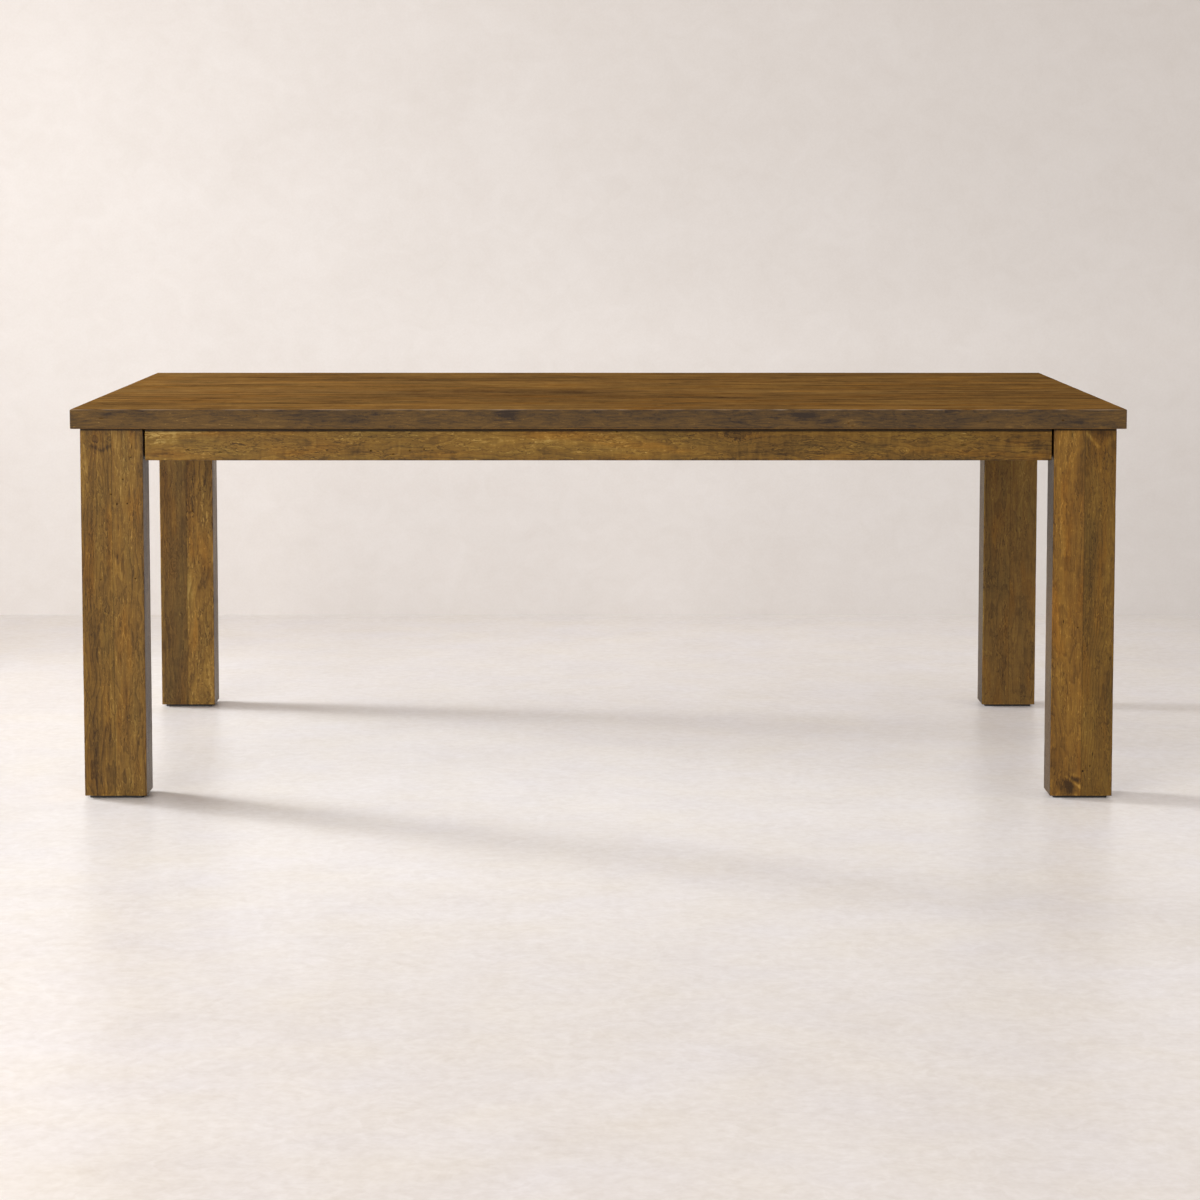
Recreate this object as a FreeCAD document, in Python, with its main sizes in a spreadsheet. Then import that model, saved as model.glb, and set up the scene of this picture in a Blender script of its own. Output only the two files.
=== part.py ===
import FreeCAD, Part

import math
import os

import Sketcher
from FreeCAD import Placement, Rotation, Vector

# A static dining table of solid wood: a top glued up from long boards, four legs of two boards each,
# four aprons, and the joinery that holds them together under the top.
#
# Frame: the origin is on the floor under the middle of the table. +X runs along the table, to the
# right of somebody who faces its front, +Y runs from the front to the back and +Z is up.
#
# A corner has a frame of its own, used for all four: "along" runs from the leg's outer end face
# towards the middle of the table and "inward" from the leg's outer long face towards the middle.

SIZES = {
    # Whole table
    "table_length": 2032,
    "table_width": 1016,
    "table_height": 762,
    # Top
    "top_thickness": 38,
    "top_overhang": 16,
    "top_edge_radius": 2,
    # Legs
    "leg_width": 121,
    "leg_depth": 70,
    "leg_edge_radius": 1.5,
    # Foot pads
    "pad_thickness": 5,
    "pad_inset": 8,
    "pad_corner_radius": 4,
    # Aprons
    "apron_height": 63,
    "apron_thickness": 25,
    "apron_setback": 6,
    "apron_reveal": 3,
    "apron_edge_radius": 1.5,
    # Groove along the inside of each apron, for the top clips
    "groove_depth": 10,
    "groove_height": 3,
    "groove_drop": 8,
    # Corner blocks
    "block_thickness": 33,
    "block_landing": 15,
    "block_top_gap": 2,
    "block_bottom_gap": 4,
    "block_edge_distance": 12.5,
    # Hanger bolts, which join each leg to its corner block
    "bolt_diameter": 8,
    "bolt_in_leg": 40,
    "bolt_tip": 5,
    "bolt_end_chamfer": 1,
    "bolt_proud": 6.9,
    "bolt_clearance": 0.5,
    "thread_clearance": 0.1,
    "nut_across_flats": 13,
    "nut_height": 6.5,
    "washer_diameter": 17,
    "washer_thickness": 1.6,
    "spring_washer_diameter": 14.4,
    "spring_washer_thickness": 2,
    "spring_washer_gap": 1.5,
    # Screws that fix the corner blocks to the aprons
    "block_screw_diameter": 4.2,
    "block_screw_length": 32,
    "block_screw_head_diameter": 9,
    "block_screw_head_height": 2.8,
    "block_screw_grip": 17,
    "block_screw_inset": 18,
    # Cross rails under the top
    "rail_width": 60,
    "rail_thickness": 25,
    "rail_housing": 10,
    "rail_edge_radius": 2,
    # Screws that hold the top to the cross rails
    "rail_screw_diameter": 5,
    "rail_screw_length": 35,
    "rail_screw_head_diameter": 10,
    "rail_screw_head_height": 3,
    "rail_screw_recess": 9,
    "rail_slot_travel": 4,
    # Steel clips that hold the top to the aprons
    "clip_gauge": 1.5,
    "clip_length": 20,
    "clip_tongue": 8,
    "clip_standoff": 2,
    "clip_flange": 22,
    "clip_hole_offset": 12,
    "clip_screw_diameter": 4,
    "clip_screw_length": 22,
    "clip_screw_head_diameter": 8,
    "clip_screw_head_height": 2.4,
    # Screws that fix the foot pads
    "pad_screw_diameter": 3.5,
    "pad_screw_length": 18,
    "pad_screw_head_diameter": 6.6,
    "pad_screw_head_height": 2,
    "pad_screw_recess": 3,
    # Common to all screws and the holes for them
    "screw_tip": 3,
    "screw_clearance": 0.3,
    "head_clearance": 0.6,
    "cut_overrun": 2,
}

TOP_BOARD_COUNT = 8

# Places along a long or a short apron, as shares of the apron's length from its middle.
RAIL_SHARES = (-0.25, 0.0, 0.25)
LONG_CLIP_SHARES = (-0.375, -0.125, 0.125, 0.375)
SHORT_CLIP_SHARES = (-0.25, 0.25)

# Places across a cross rail, as shares of the top's width from its middle. Each is the middle of a
# board. The inner screws have round holes, and the outer ones slots.
ROUND_HOLE_SHARES = (-0.0625, 0.0625)
SLOTTED_HOLE_SHARES = (-0.3125, 0.3125)

# The shape of a screw's pan head: how much of its height is straight, and how wide its crown is.
HEAD_RIM_SHARE = 0.45
HEAD_CROWN_SHARE = 0.7

DIAGONAL = math.sqrt(2)
HEXAGON_RATIO = 2 / math.sqrt(3)
SAME_PLACE_DECIMALS = 4

# Each corner: its name, and which way it lies from the middle of the table along X and along Y.
CORNERS = (
    ("front_left", -1, -1),
    ("front_right", 1, -1),
    ("back_left", -1, 1),
    ("back_right", 1, 1),
)


class Size:
    """A length: its number now, and its formula in the names of the sheet."""

    def __init__(self, value, formula):
        self.value = value
        self.formula = formula

    def combined(self, other, sign, number):
        formula = other.formula if isinstance(other, Size) else repr(other)
        return Size(number, f"({self.formula} {sign} {formula})")

    def __add__(self, other):
        return self.combined(other, "+", self.value + number_of(other))

    def __sub__(self, other):
        return self.combined(other, "-", self.value - number_of(other))

    def __mul__(self, ratio):
        return self.combined(ratio, "*", self.value * ratio)

    def __truediv__(self, ratio):
        return self.combined(ratio, "/", self.value / ratio)

    def __neg__(self):
        return self * -1


def number_of(length):
    return length.value if isinstance(length, Size) else length


def size(name):
    """The driving dimension of that name."""
    return Size(SIZES[name], f"Sizes.{name}")


def make_sheet():
    """Writes the driving dimensions into the spreadsheet, one row each, with the name as the alias."""
    sheet = document.addObject("Spreadsheet::Sheet", "Sizes")
    for row, (name, number) in enumerate(SIZES.items(), start=1):
        sheet.set(f"A{row}", name)
        sheet.set(f"B{row}", str(number))
        sheet.setAlias(f"B{row}", name)
    document.recompute()
    return sheet


def bind(thing, path, length):
    thing.setExpression(path, length.formula)


def put(thing, place, rotation=None):
    """Places an object at three lengths, turned by a fixed rotation."""
    thing.Placement = Placement(Vector(0, 0, 0), rotation or Rotation())
    for axis, length in zip("xyz", place):
        if isinstance(length, Size):
            bind(thing, f"Placement.Base.{axis}", length)


# Sketches and features

def new_body(label):
    body = document.addObject("PartDesign::Body", label)
    body.Label = label
    return body


def new_sketch(body, plane, name, offset=None):
    """A sketch on one of the body's own origin planes, moved along that plane's normal by an offset."""
    sketch = body.newObject("Sketcher::SketchObject", name)
    support = next(item for item in body.Origin.OriginFeatures if item.Role == f"{plane}_Plane")
    sketch.AttachmentSupport = [(support, "")]
    sketch.MapMode = "FlatFace"
    if offset is not None:
        bind(sketch, "AttachmentOffset.Base.z", offset)
    return sketch


def pin(sketch, geometry, point, place):
    """Fixes a point of a sketch at a place measured from the sketch's origin."""
    for kind, length in zip(("DistanceX", "DistanceY"), place):
        number = sketch.addConstraint(
            Sketcher.Constraint(kind, -1, 1, geometry, point, float(number_of(length)))
        )
        if isinstance(length, Size):
            bind(sketch, f"Constraints[{number}]", length)


def flat(place):
    return Vector(number_of(place[0]), number_of(place[1]), 0)


def draw_outline(sketch, corners):
    """Draws a closed outline of straight lines through the corners."""
    first = sketch.GeometryCount
    count = len(corners)
    for index, corner in enumerate(corners):
        following = corners[(index + 1) % count]
        sketch.addGeometry(Part.LineSegment(flat(corner), flat(following)), False)
    for index, corner in enumerate(corners):
        following = (index + 1) % count
        sketch.addConstraint(Sketcher.Constraint("Coincident", first + index, 2, first + following, 1))
        pin(sketch, first + index, 1, corner)


def draw_rectangle(sketch, low, high):
    draw_outline(sketch, [low, (high[0], low[1]), high, (low[0], high[1])])


def draw_circle(sketch, centre, diameter):
    circle = sketch.addGeometry(
        Part.Circle(flat(centre), Vector(0, 0, 1), diameter.value / 2), False
    )
    number = sketch.addConstraint(Sketcher.Constraint("Diameter", circle, diameter.value))
    bind(sketch, f"Constraints[{number}]", diameter)
    pin(sketch, circle, 3, centre)


def draw_slot(sketch, centre, travel, diameter):
    """Draws a slot with round ends, longer than it is wide by the travel, along the sketch's Y."""
    reach = travel / 2
    upper = (centre[0], centre[1] + reach)
    lower = (centre[0], centre[1] - reach)
    radius = diameter.value / 2
    left = number_of(centre[0]) - radius
    right = number_of(centre[0]) + radius
    top = number_of(upper[1])
    bottom = number_of(lower[1])
    arcs = []
    for place, start, stop in ((upper, 0, math.pi), (lower, math.pi, 2 * math.pi)):
        circle = Part.Circle(flat(place), Vector(0, 0, 1), radius)
        arcs.append(sketch.addGeometry(Part.ArcOfCircle(circle, start, stop), False))
    down = sketch.addGeometry(Part.LineSegment(Vector(left, top, 0), Vector(left, bottom, 0)), False)
    back = sketch.addGeometry(Part.LineSegment(Vector(right, bottom, 0), Vector(right, top, 0)), False)
    sketch.addConstraint(Sketcher.Constraint("Tangent", arcs[0], 2, down, 1))
    sketch.addConstraint(Sketcher.Constraint("Tangent", down, 2, arcs[1], 1))
    sketch.addConstraint(Sketcher.Constraint("Tangent", arcs[1], 2, back, 1))
    sketch.addConstraint(Sketcher.Constraint("Tangent", back, 2, arcs[0], 1))
    sketch.addConstraint(Sketcher.Constraint("Equal", arcs[0], arcs[1]))
    number = sketch.addConstraint(Sketcher.Constraint("Diameter", arcs[0], diameter.value))
    bind(sketch, f"Constraints[{number}]", diameter)
    pin(sketch, arcs[0], 3, upper)
    pin(sketch, arcs[1], 3, lower)


def pad(body, sketch, height, symmetric=False):
    feature = body.newObject("PartDesign::Pad", "Pad")
    feature.Profile = sketch
    feature.SideType = "Symmetric" if symmetric else "One side"
    bind(feature, "Length", height)
    document.recompute()
    return feature


def pocket(body, sketch, depth, against_normal=True, symmetric=False):
    """Cuts a sketch into the body to a depth, and tests that it took material away."""
    before = body.Shape.Volume
    feature = body.newObject("PartDesign::Pocket", "Pocket")
    feature.Profile = sketch
    feature.Reversed = not against_normal
    feature.SideType = "Symmetric" if symmetric else "One side"
    bind(feature, "Length", depth)
    document.recompute()
    if not body.Shape.Volume < before:
        raise RuntimeError(f"{body.Label}: {sketch.Name} cut nothing")
    return feature


def round_edges(body, feature, radius, wanted):
    """Rounds the edges of the feature whose middle and direction the test accepts."""
    names = []
    for number, edge in enumerate(feature.Shape.Edges, start=1):
        middle = edge.valueAt((edge.FirstParameter + edge.LastParameter) / 2)
        if wanted(middle, edge.tangentAt(edge.FirstParameter)):
            names.append(f"Edge{number}")
    if not names:
        raise RuntimeError(f"{body.Label}: no edge to round")
    fillet = body.newObject("PartDesign::Fillet", "Fillet")
    fillet.Base = (feature, names)
    bind(fillet, "Radius", radius)
    document.recompute()
    return fillet


def near(number, length):
    return round(number - number_of(length), SAME_PLACE_DECIMALS) == 0


def runs_along(direction, axis):
    return round(abs(getattr(direction, axis))) == 1


def cylinder(label, diameter, length, place, rotation):
    rod = document.addObject("Part::Cylinder", label)
    bind(rod, "Radius", diameter / 2)
    bind(rod, "Height", length)
    put(rod, place, rotation)
    return rod


def cut(label, base, tools):
    """Takes the tools away from the base."""
    holes = document.addObject("Part::Compound", f"{label}_holes")
    holes.Links = tools
    result = document.addObject("Part::Cut", label)
    result.Label = label
    result.Base = base
    result.Tool = holes
    document.recompute()
    return result


def group(label, master, places):
    """The same piece at several places, as one sub-part of separate solids."""
    copies = []
    for place, rotation in places:
        copy = document.addObject("App::Link", f"{label}_copy")
        copy.LinkedObject = master
        put(copy, place, rotation)
        copies.append(copy)
    compound = document.addObject("Part::Compound", label)
    compound.Label = label
    compound.Links = copies
    return compound


def turned(label, profile):
    """A body turned about its own Z from a half outline of (distance from the axis, height)."""
    body = new_body(label)
    sketch = new_sketch(body, "XZ", f"{label}_profile")
    draw_outline(sketch, profile)
    feature = body.newObject("PartDesign::Revolution", "Revolution")
    feature.Profile = sketch
    feature.ReferenceAxis = (sketch, ["V_Axis"])
    feature.Angle = 360
    document.recompute()
    return body


def screw(name):
    """A pan-head wood screw: its head stands on z = 0 and its shank points down."""
    shank = size(f"{name}_diameter") / 2
    length = size(f"{name}_length")
    head = size(f"{name}_head_diameter") / 2
    height = size(f"{name}_head_height")
    return turned(f"{name}_pattern", [
        (0, -length),
        (shank, size("screw_tip") - length),
        (shank, 0),
        (head, 0),
        (head, height * HEAD_RIM_SHARE),
        (head * HEAD_CROWN_SHARE, height),
        (0, height),
    ])


def threaded_hole(name):
    """The diameter of a hole that a screw's thread holds in."""
    return size(f"{name}_diameter") + size("thread_clearance")


def clear_hole(name):
    """The diameter of a hole that a screw's shank passes through."""
    return size(f"{name}_diameter") + size("screw_clearance")


def head_hole(name):
    """The diameter of a recess that takes a screw's head."""
    return size(f"{name}_head_diameter") + size("head_clearance")


# Sizes that several pieces share

document = FreeCAD.newDocument("DiningTable")
make_sheet()

half_length = size("table_length") / 2
half_width = size("table_width") / 2
underside = size("table_height") - size("top_thickness")
board_width = size("table_width") / TOP_BOARD_COUNT

leg_line_x = half_length - size("top_overhang")
leg_line_y = half_width - size("top_overhang")
leg_height = underside - size("pad_thickness")
leg_board_width = size("leg_width") / 2

apron_low = underside - size("apron_height")
apron_face_x = leg_line_x - size("apron_setback")
apron_face_y = leg_line_y - size("apron_setback")
apron_inside = size("apron_setback") + size("apron_thickness")
long_apron_length = (leg_line_x - size("leg_width") - size("apron_reveal")) * 2
short_apron_length = (leg_line_y - size("leg_depth") - size("apron_reveal")) * 2

# The corner block lies across the corner. Its two long faces are the lines where along + inward is
# seat_line, against the leg, and back_line, towards the middle of the table.
seat_line = size("leg_width") + size("block_landing") + apron_inside
back_line = seat_line + size("block_thickness") * DIAGONAL
block_height = size("apron_height") - size("block_top_gap") - size("block_bottom_gap")
block_low = apron_low + size("block_bottom_gap")
lower_level = size("block_bottom_gap") + size("block_edge_distance")
upper_level = size("apron_height") - size("block_top_gap") - size("block_edge_distance")
block_levels = (lower_level, upper_level)

# The hanger bolts pass through the middle of the leg's seat.
seat_along = (size("leg_width") + seat_line - size("leg_depth")) / 2
seat_inward = seat_line - seat_along
bolt_length = (
    size("bolt_in_leg") + size("block_thickness") + size("washer_thickness")
    + size("spring_washer_thickness") + size("nut_height") + size("bolt_proud")
)
bolt_hole = size("bolt_diameter") + size("bolt_clearance")
bolt_thread_hole = size("bolt_diameter") + size("thread_clearance")

# The screws of a corner block stand this far along from the leg's outer faces.
block_screw_along = size("leg_width") + size("block_landing") + size("block_screw_inset")
block_screw_seat = apron_inside + size("block_screw_grip")
block_screw_bite = size("block_screw_length") - size("block_screw_grip")

rail_low = underside - size("rail_thickness")
rail_length = (leg_line_y - apron_inside + size("rail_housing")) * 2
rail_screw_bite = size("rail_screw_length") - size("rail_thickness") + size("rail_screw_recess")

clip_screw_inward = size("apron_thickness") + size("clip_standoff") + size("clip_hole_offset")
clip_screw_bite = size("clip_screw_length") - size("clip_gauge")

pad_screw_bite = size("pad_screw_length") - size("pad_thickness") + size("pad_screw_recess")

UP = Rotation()
OVER = Rotation(Vector(1, 0, 0), 180)


def turn(degrees):
    return Rotation(Vector(0, 0, 1), degrees)


def aim(direction):
    """The rotation that turns Z to a direction."""
    return Rotation(Vector(0, 0, 1), direction)


# Each apron: its name, its length, the place of its outer face's middle and the turn that points
# its Y at the middle of the table.
FRONT_APRON = (long_apron_length, (0, -apron_face_y, apron_low), turn(0))
BACK_APRON = (long_apron_length, (0, apron_face_y, apron_low), turn(180))
LEFT_APRON = (short_apron_length, (-apron_face_x, 0, apron_low), turn(-90))
RIGHT_APRON = (short_apron_length, (apron_face_x, 0, apron_low), turn(90))


def board_middle(number):
    """How far along Y the middle of a top board lies, counting the boards from 1 at the front."""
    return board_width * (number - (TOP_BOARD_COUNT + 1) / 2)


def rail_screw_places():
    for share in RAIL_SHARES:
        for hole_share in ROUND_HOLE_SHARES + SLOTTED_HOLE_SHARES:
            yield long_apron_length * share, size("table_width") * hole_share


def clip_screw_places():
    row = apron_face_y - clip_screw_inward
    for share in LONG_CLIP_SHARES:
        yield long_apron_length * share, -row
        yield long_apron_length * share, row
    row = apron_face_x - clip_screw_inward
    for share in SHORT_CLIP_SHARES:
        yield -row, short_apron_length * share
        yield row, short_apron_length * share


# Top

def top_board(number):
    """One board of the top, counted from the front, with its eased outer edges and screw holes."""
    label = f"top_board_{number}"
    body = new_body(label)
    low = board_middle(number) - board_width / 2
    put(body, (0, low, underside))
    sketch = new_sketch(body, "XY", f"{label}_outline")
    draw_rectangle(sketch, (-half_length, 0), (half_length, board_width))
    blank = pad(body, sketch, size("top_thickness"))

    def is_outer(middle, direction):
        at_end = near(abs(middle.x), half_length)
        at_front = number == 1 and near(middle.y, 0)
        at_back = number == TOP_BOARD_COUNT and near(middle.y, board_width)
        at_side = at_front or at_back
        return (
            (at_end and runs_along(direction, "y"))
            or (at_side and runs_along(direction, "x"))
            or (at_end and at_side and runs_along(direction, "z"))
        )

    round_edges(body, blank, size("top_edge_radius"), is_outer)
    holes = (
        ("rail_screw", rail_screw_bite, rail_screw_places),
        ("clip_screw", clip_screw_bite, clip_screw_places),
    )
    for name, bite, places in holes:
        diameter = threaded_hole(name)
        reach = diameter.value / 2
        on_board = [
            (across, inward - low) for across, inward in places()
            if -reach < (inward - low).value < board_width.value + reach
        ]
        if on_board:
            sketch = new_sketch(body, "XY", f"{label}_{name}_holes")
            for place in on_board:
                draw_circle(sketch, place, diameter)
            pocket(body, sketch, bite, against_normal=False)
    return body


# Legs

def leg_board(corner, side_x, side_y, which):
    """One of a leg's two boards. The inner one has the seat for the corner block."""
    inner = which == "inner"
    label = f"leg_{corner}_{which}_board"
    body = new_body(f"{label}_blank" if inner else label)
    put(body, (leg_line_x * side_x, leg_line_y * side_y, size("pad_thickness")))

    def at(along, inward):
        return along * -side_x, inward * -side_y

    depth = size("leg_depth")
    start = leg_board_width * (1 if inner else 0)
    stop = start + leg_board_width
    sketch = new_sketch(body, "XY", f"{label}_outline")
    draw_outline(sketch, [at(start, 0), at(stop, 0), at(stop, depth), at(start, depth)])
    blank = pad(body, sketch, leg_height)
    outside = at(stop if inner else start, 0)[0]
    round_edges(
        body, blank, size("leg_edge_radius"),
        lambda middle, direction: near(middle.x, outside) and runs_along(direction, "z"),
    )
    sketch = new_sketch(body, "XY", f"{label}_pad_screw_hole")
    draw_circle(sketch, at((start + stop) / 2, depth / 2), threaded_hole("pad_screw"))
    pocket(body, sketch, pad_screw_bite, against_normal=False)
    if not inner:
        return body

    overrun = size("cut_overrun")
    sketch = new_sketch(body, "XY", f"{label}_seat", offset=leg_height)
    draw_outline(sketch, [
        at(stop + overrun, seat_line - stop - overrun),
        at(stop + overrun, depth + overrun),
        at(seat_line - depth - overrun, depth + overrun),
    ])
    pocket(body, sketch, size("apron_height"))
    tip = size("bolt_in_leg") / DIAGONAL
    holes = [
        cylinder(
            f"{label}_bolt_hole", bolt_thread_hole, size("bolt_in_leg") + overrun,
            (
                (leg_line_x - seat_along + tip) * side_x,
                (leg_line_y - seat_inward + tip) * side_y,
                apron_low + level,
            ),
            aim(Vector(-side_x, -side_y, 0)),
        )
        for level in block_levels
    ]
    return cut(label, body, holes)


# Aprons

def apron(name, frame, screw_from_end, rail_shares):
    """An apron with the groove for its clips, the holes for its corner blocks' screws and, on a
    long one, the housings for the ends of the cross rails."""
    length, place, rotation = frame
    label = f"apron_{name}"
    thickness = size("apron_thickness")
    height = size("apron_height")
    body = new_body(label)
    put(body, place, rotation)
    sketch = new_sketch(body, "XY", f"{label}_outline")
    draw_rectangle(sketch, (-length / 2, 0), (length / 2, thickness))
    blank = pad(body, sketch, height)

    def is_eased(middle, direction):
        below = near(middle.z, 0) and runs_along(direction, "x")
        return below or (near(middle.y, 0) and runs_along(direction, "z"))

    round_edges(body, blank, size("apron_edge_radius"), is_eased)

    groove_top = height - size("groove_drop")
    sketch = new_sketch(body, "YZ", f"{label}_groove")
    draw_rectangle(
        sketch,
        (thickness - size("groove_depth"), groove_top - size("groove_height")),
        (thickness + size("cut_overrun"), groove_top),
    )
    pocket(body, sketch, length + size("cut_overrun"), symmetric=True)

    sketch = new_sketch(body, "XZ", f"{label}_block_screw_holes", offset=-thickness)
    for side in (-1, 1):
        for level in block_levels:
            draw_circle(
                sketch, ((length / 2 - screw_from_end) * side, level), threaded_hole("block_screw")
            )
    pocket(body, sketch, block_screw_bite, against_normal=False)

    if rail_shares:
        sketch = new_sketch(body, "XY", f"{label}_rail_housings", offset=height)
        reach = size("rail_width") / 2
        for share in rail_shares:
            draw_rectangle(
                sketch,
                (length * share - reach, thickness - size("rail_housing")),
                (length * share + reach, thickness + size("cut_overrun")),
            )
        pocket(body, sketch, size("rail_thickness"))
    return body


# Corner blocks

def corner_block(corner, side_x, side_y):
    """The block across a corner, bored for the leg's bolts and for its screws to both aprons."""
    label = f"corner_block_{corner}"
    overrun = size("cut_overrun")
    body = new_body(f"{label}_blank")
    put(body, (leg_line_x * side_x, leg_line_y * side_y, block_low))

    def at(along, inward):
        return along * -side_x, inward * -side_y

    def world(along, inward, level):
        return (leg_line_x - along) * side_x, (leg_line_y - inward) * side_y, apron_low + level

    sketch = new_sketch(body, "XY", f"{label}_outline")
    draw_outline(sketch, [
        at(seat_line - apron_inside, apron_inside),
        at(back_line - apron_inside, apron_inside),
        at(apron_inside, back_line - apron_inside),
        at(apron_inside, seat_line - apron_inside),
    ])
    pad(body, sketch, block_height)

    recess = head_hole("block_screw")
    recess_length = back_line - block_screw_along + recess / 2 + overrun - block_screw_seat
    start = apron_inside - overrun
    before_seat = overrun / DIAGONAL
    tools = []
    for level in block_levels:
        tools.append(cylinder(
            f"{label}_bolt_hole", bolt_hole, size("block_thickness") + overrun * 2,
            world(seat_along - before_seat, seat_inward - before_seat, level),
            aim(Vector(-side_x, -side_y, 0)),
        ))
        for inward_way in (True, False):
            aimed = aim(Vector(0, -side_y, 0) if inward_way else Vector(-side_x, 0, 0))
            for diameter, length, depth in (
                (clear_hole("block_screw"), size("block_screw_grip") + overrun * 2, start),
                (recess, recess_length, block_screw_seat),
            ):
                place = (block_screw_along, depth) if inward_way else (depth, block_screw_along)
                tools.append(cylinder(
                    f"{label}_screw_hole", diameter, length, world(*place, level), aimed
                ))
    return cut(label, body, tools)


def block_screw_places(side_x, side_y):
    """Where the four screws of a corner block stand, each pointing out into an apron."""
    for level in block_levels:
        yield (
            (leg_line_x - block_screw_along) * side_x,
            (leg_line_y - block_screw_seat) * side_y,
            apron_low + level,
        ), aim(Vector(0, -side_y, 0))
        yield (
            (leg_line_x - block_screw_seat) * side_x,
            (leg_line_y - block_screw_along) * side_y,
            apron_low + level,
        ), aim(Vector(-side_x, 0, 0))


# Bolts, washers and nuts

def hanger_bolt():
    """A bolt with a wood thread below and a machine thread above, standing on its tip."""
    radius = size("bolt_diameter") / 2
    chamfer = size("bolt_end_chamfer")
    return turned("hanger_bolt_pattern", [
        (0, 0),
        (radius, size("bolt_tip")),
        (radius, bolt_length - chamfer),
        (radius - chamfer, bolt_length),
        (0, bolt_length),
    ])


def ring(label, diameter, hole, thickness, gap=None):
    """A flat washer or, with a gap through one side, a spring washer."""
    body = new_body(label)
    sketch = new_sketch(body, "XY", f"{label}_outline")
    draw_circle(sketch, (0, 0), diameter)
    draw_circle(sketch, (0, 0), hole)
    pad(body, sketch, thickness)
    if gap is not None:
        sketch = new_sketch(body, "XY", f"{label}_gap")
        draw_rectangle(sketch, (0, -gap / 2), (diameter, gap / 2))
        pocket(body, sketch, thickness, against_normal=False)
    return body


def hex_nut():
    prism = document.addObject("Part::Prism", "hex_nut_blank")
    prism.Polygon = 6
    bind(prism, "Circumradius", size("nut_across_flats") / 2 * HEXAGON_RATIO)
    bind(prism, "Height", size("nut_height"))
    bore = cylinder(
        "hex_nut_bore", bolt_thread_hole, size("nut_height") + size("cut_overrun") * 2,
        (0, 0, -size("cut_overrun")), UP,
    )
    return cut("hex_nut_pattern", prism, [bore])


def bolt_places(side_x, side_y, distance):
    """Places on the axes of a corner's two bolts, at a distance past the leg's seat."""
    shift = distance / DIAGONAL
    for level in block_levels:
        yield (
            (leg_line_x - seat_along - shift) * side_x,
            (leg_line_y - seat_inward - shift) * side_y,
            apron_low + level,
        ), aim(Vector(-side_x, -side_y, 0))


# Cross rails

def cross_rail(number, share):
    """A rail under the top. Its outer screw holes are slots, so that the top can move."""
    label = f"cross_rail_{number}"
    body = new_body(label)
    put(body, (long_apron_length * share, 0, rail_low))
    reach = size("rail_width") / 2
    sketch = new_sketch(body, "XY", f"{label}_outline")
    draw_rectangle(sketch, (-reach, -rail_length / 2), (reach, rail_length / 2))
    blank = pad(body, sketch, size("rail_thickness"))
    round_edges(
        body, blank, size("rail_edge_radius"),
        lambda middle, direction: near(middle.z, 0) and runs_along(direction, "y"),
    )
    for purpose, diameter, depth in (
        ("shank", clear_hole("rail_screw"), size("rail_thickness")),
        ("head", head_hole("rail_screw"), size("rail_screw_recess")),
    ):
        sketch = new_sketch(body, "XY", f"{label}_{purpose}_holes")
        for hole_share in ROUND_HOLE_SHARES:
            draw_circle(sketch, (0, size("table_width") * hole_share), diameter)
        for hole_share in SLOTTED_HOLE_SHARES:
            centre = (0, size("table_width") * hole_share)
            draw_slot(sketch, centre, size("rail_slot_travel"), diameter)
        pocket(body, sketch, depth, against_normal=False)
    return body


# Top clips

def top_clip():
    """A Z-shaped steel clip, in the frame of the apron whose groove holds its tongue."""
    gauge = size("clip_gauge")
    face = size("apron_thickness")
    tongue_top = size("apron_height") - size("groove_drop")
    flange_top = size("apron_height")
    riser = face + size("clip_standoff")
    body = new_body("top_clip_pattern")
    sketch = new_sketch(body, "YZ", "top_clip_profile")
    draw_outline(sketch, [
        (face - size("clip_tongue"), tongue_top - gauge),
        (riser + gauge, tongue_top - gauge),
        (riser + gauge, flange_top - gauge),
        (riser + size("clip_flange"), flange_top - gauge),
        (riser + size("clip_flange"), flange_top),
        (riser, flange_top),
        (riser, tongue_top),
        (face - size("clip_tongue"), tongue_top),
    ])
    pad(body, sketch, size("clip_length"), symmetric=True)
    sketch = new_sketch(body, "XY", "top_clip_hole", offset=flange_top)
    draw_circle(sketch, (0, clip_screw_inward), clear_hole("clip_screw"))
    pocket(body, sketch, gauge)
    return body


def clip_places(frame, shares):
    length, place, rotation = frame
    across = place[0] == 0
    for share in shares:
        if across:
            yield (length * share, place[1], place[2]), rotation
        else:
            yield (place[0], length * share, place[2]), rotation


# Foot pads

def foot_pad(corner, side_x, side_y):
    """The pad under a leg, with two recessed screw holes, one under each of the leg's boards."""
    label = f"foot_pad_{corner}"
    inset = size("pad_inset")
    reach_x = size("leg_width") / 2 - inset
    reach_y = size("leg_depth") / 2 - inset
    body = new_body(label)
    centre_x = (leg_line_x - size("leg_width") / 2) * side_x
    centre_y = (leg_line_y - size("leg_depth") / 2) * side_y
    put(body, (centre_x, centre_y, 0))
    sketch = new_sketch(body, "XY", f"{label}_outline")
    draw_rectangle(sketch, (-reach_x, -reach_y), (reach_x, reach_y))
    blank = pad(body, sketch, size("pad_thickness"))
    round_edges(
        body, blank, size("pad_corner_radius"),
        lambda middle, direction: runs_along(direction, "z"),
    )
    for purpose, diameter, depth in (
        ("shank", clear_hole("pad_screw"), size("pad_thickness")),
        ("head", head_hole("pad_screw"), size("pad_screw_recess")),
    ):
        sketch = new_sketch(body, "XY", f"{label}_{purpose}_holes")
        for side in (-1, 1):
            draw_circle(sketch, (leg_board_width / 2 * side, 0), diameter)
        pocket(body, sketch, depth, against_normal=False)
    return body


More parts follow.
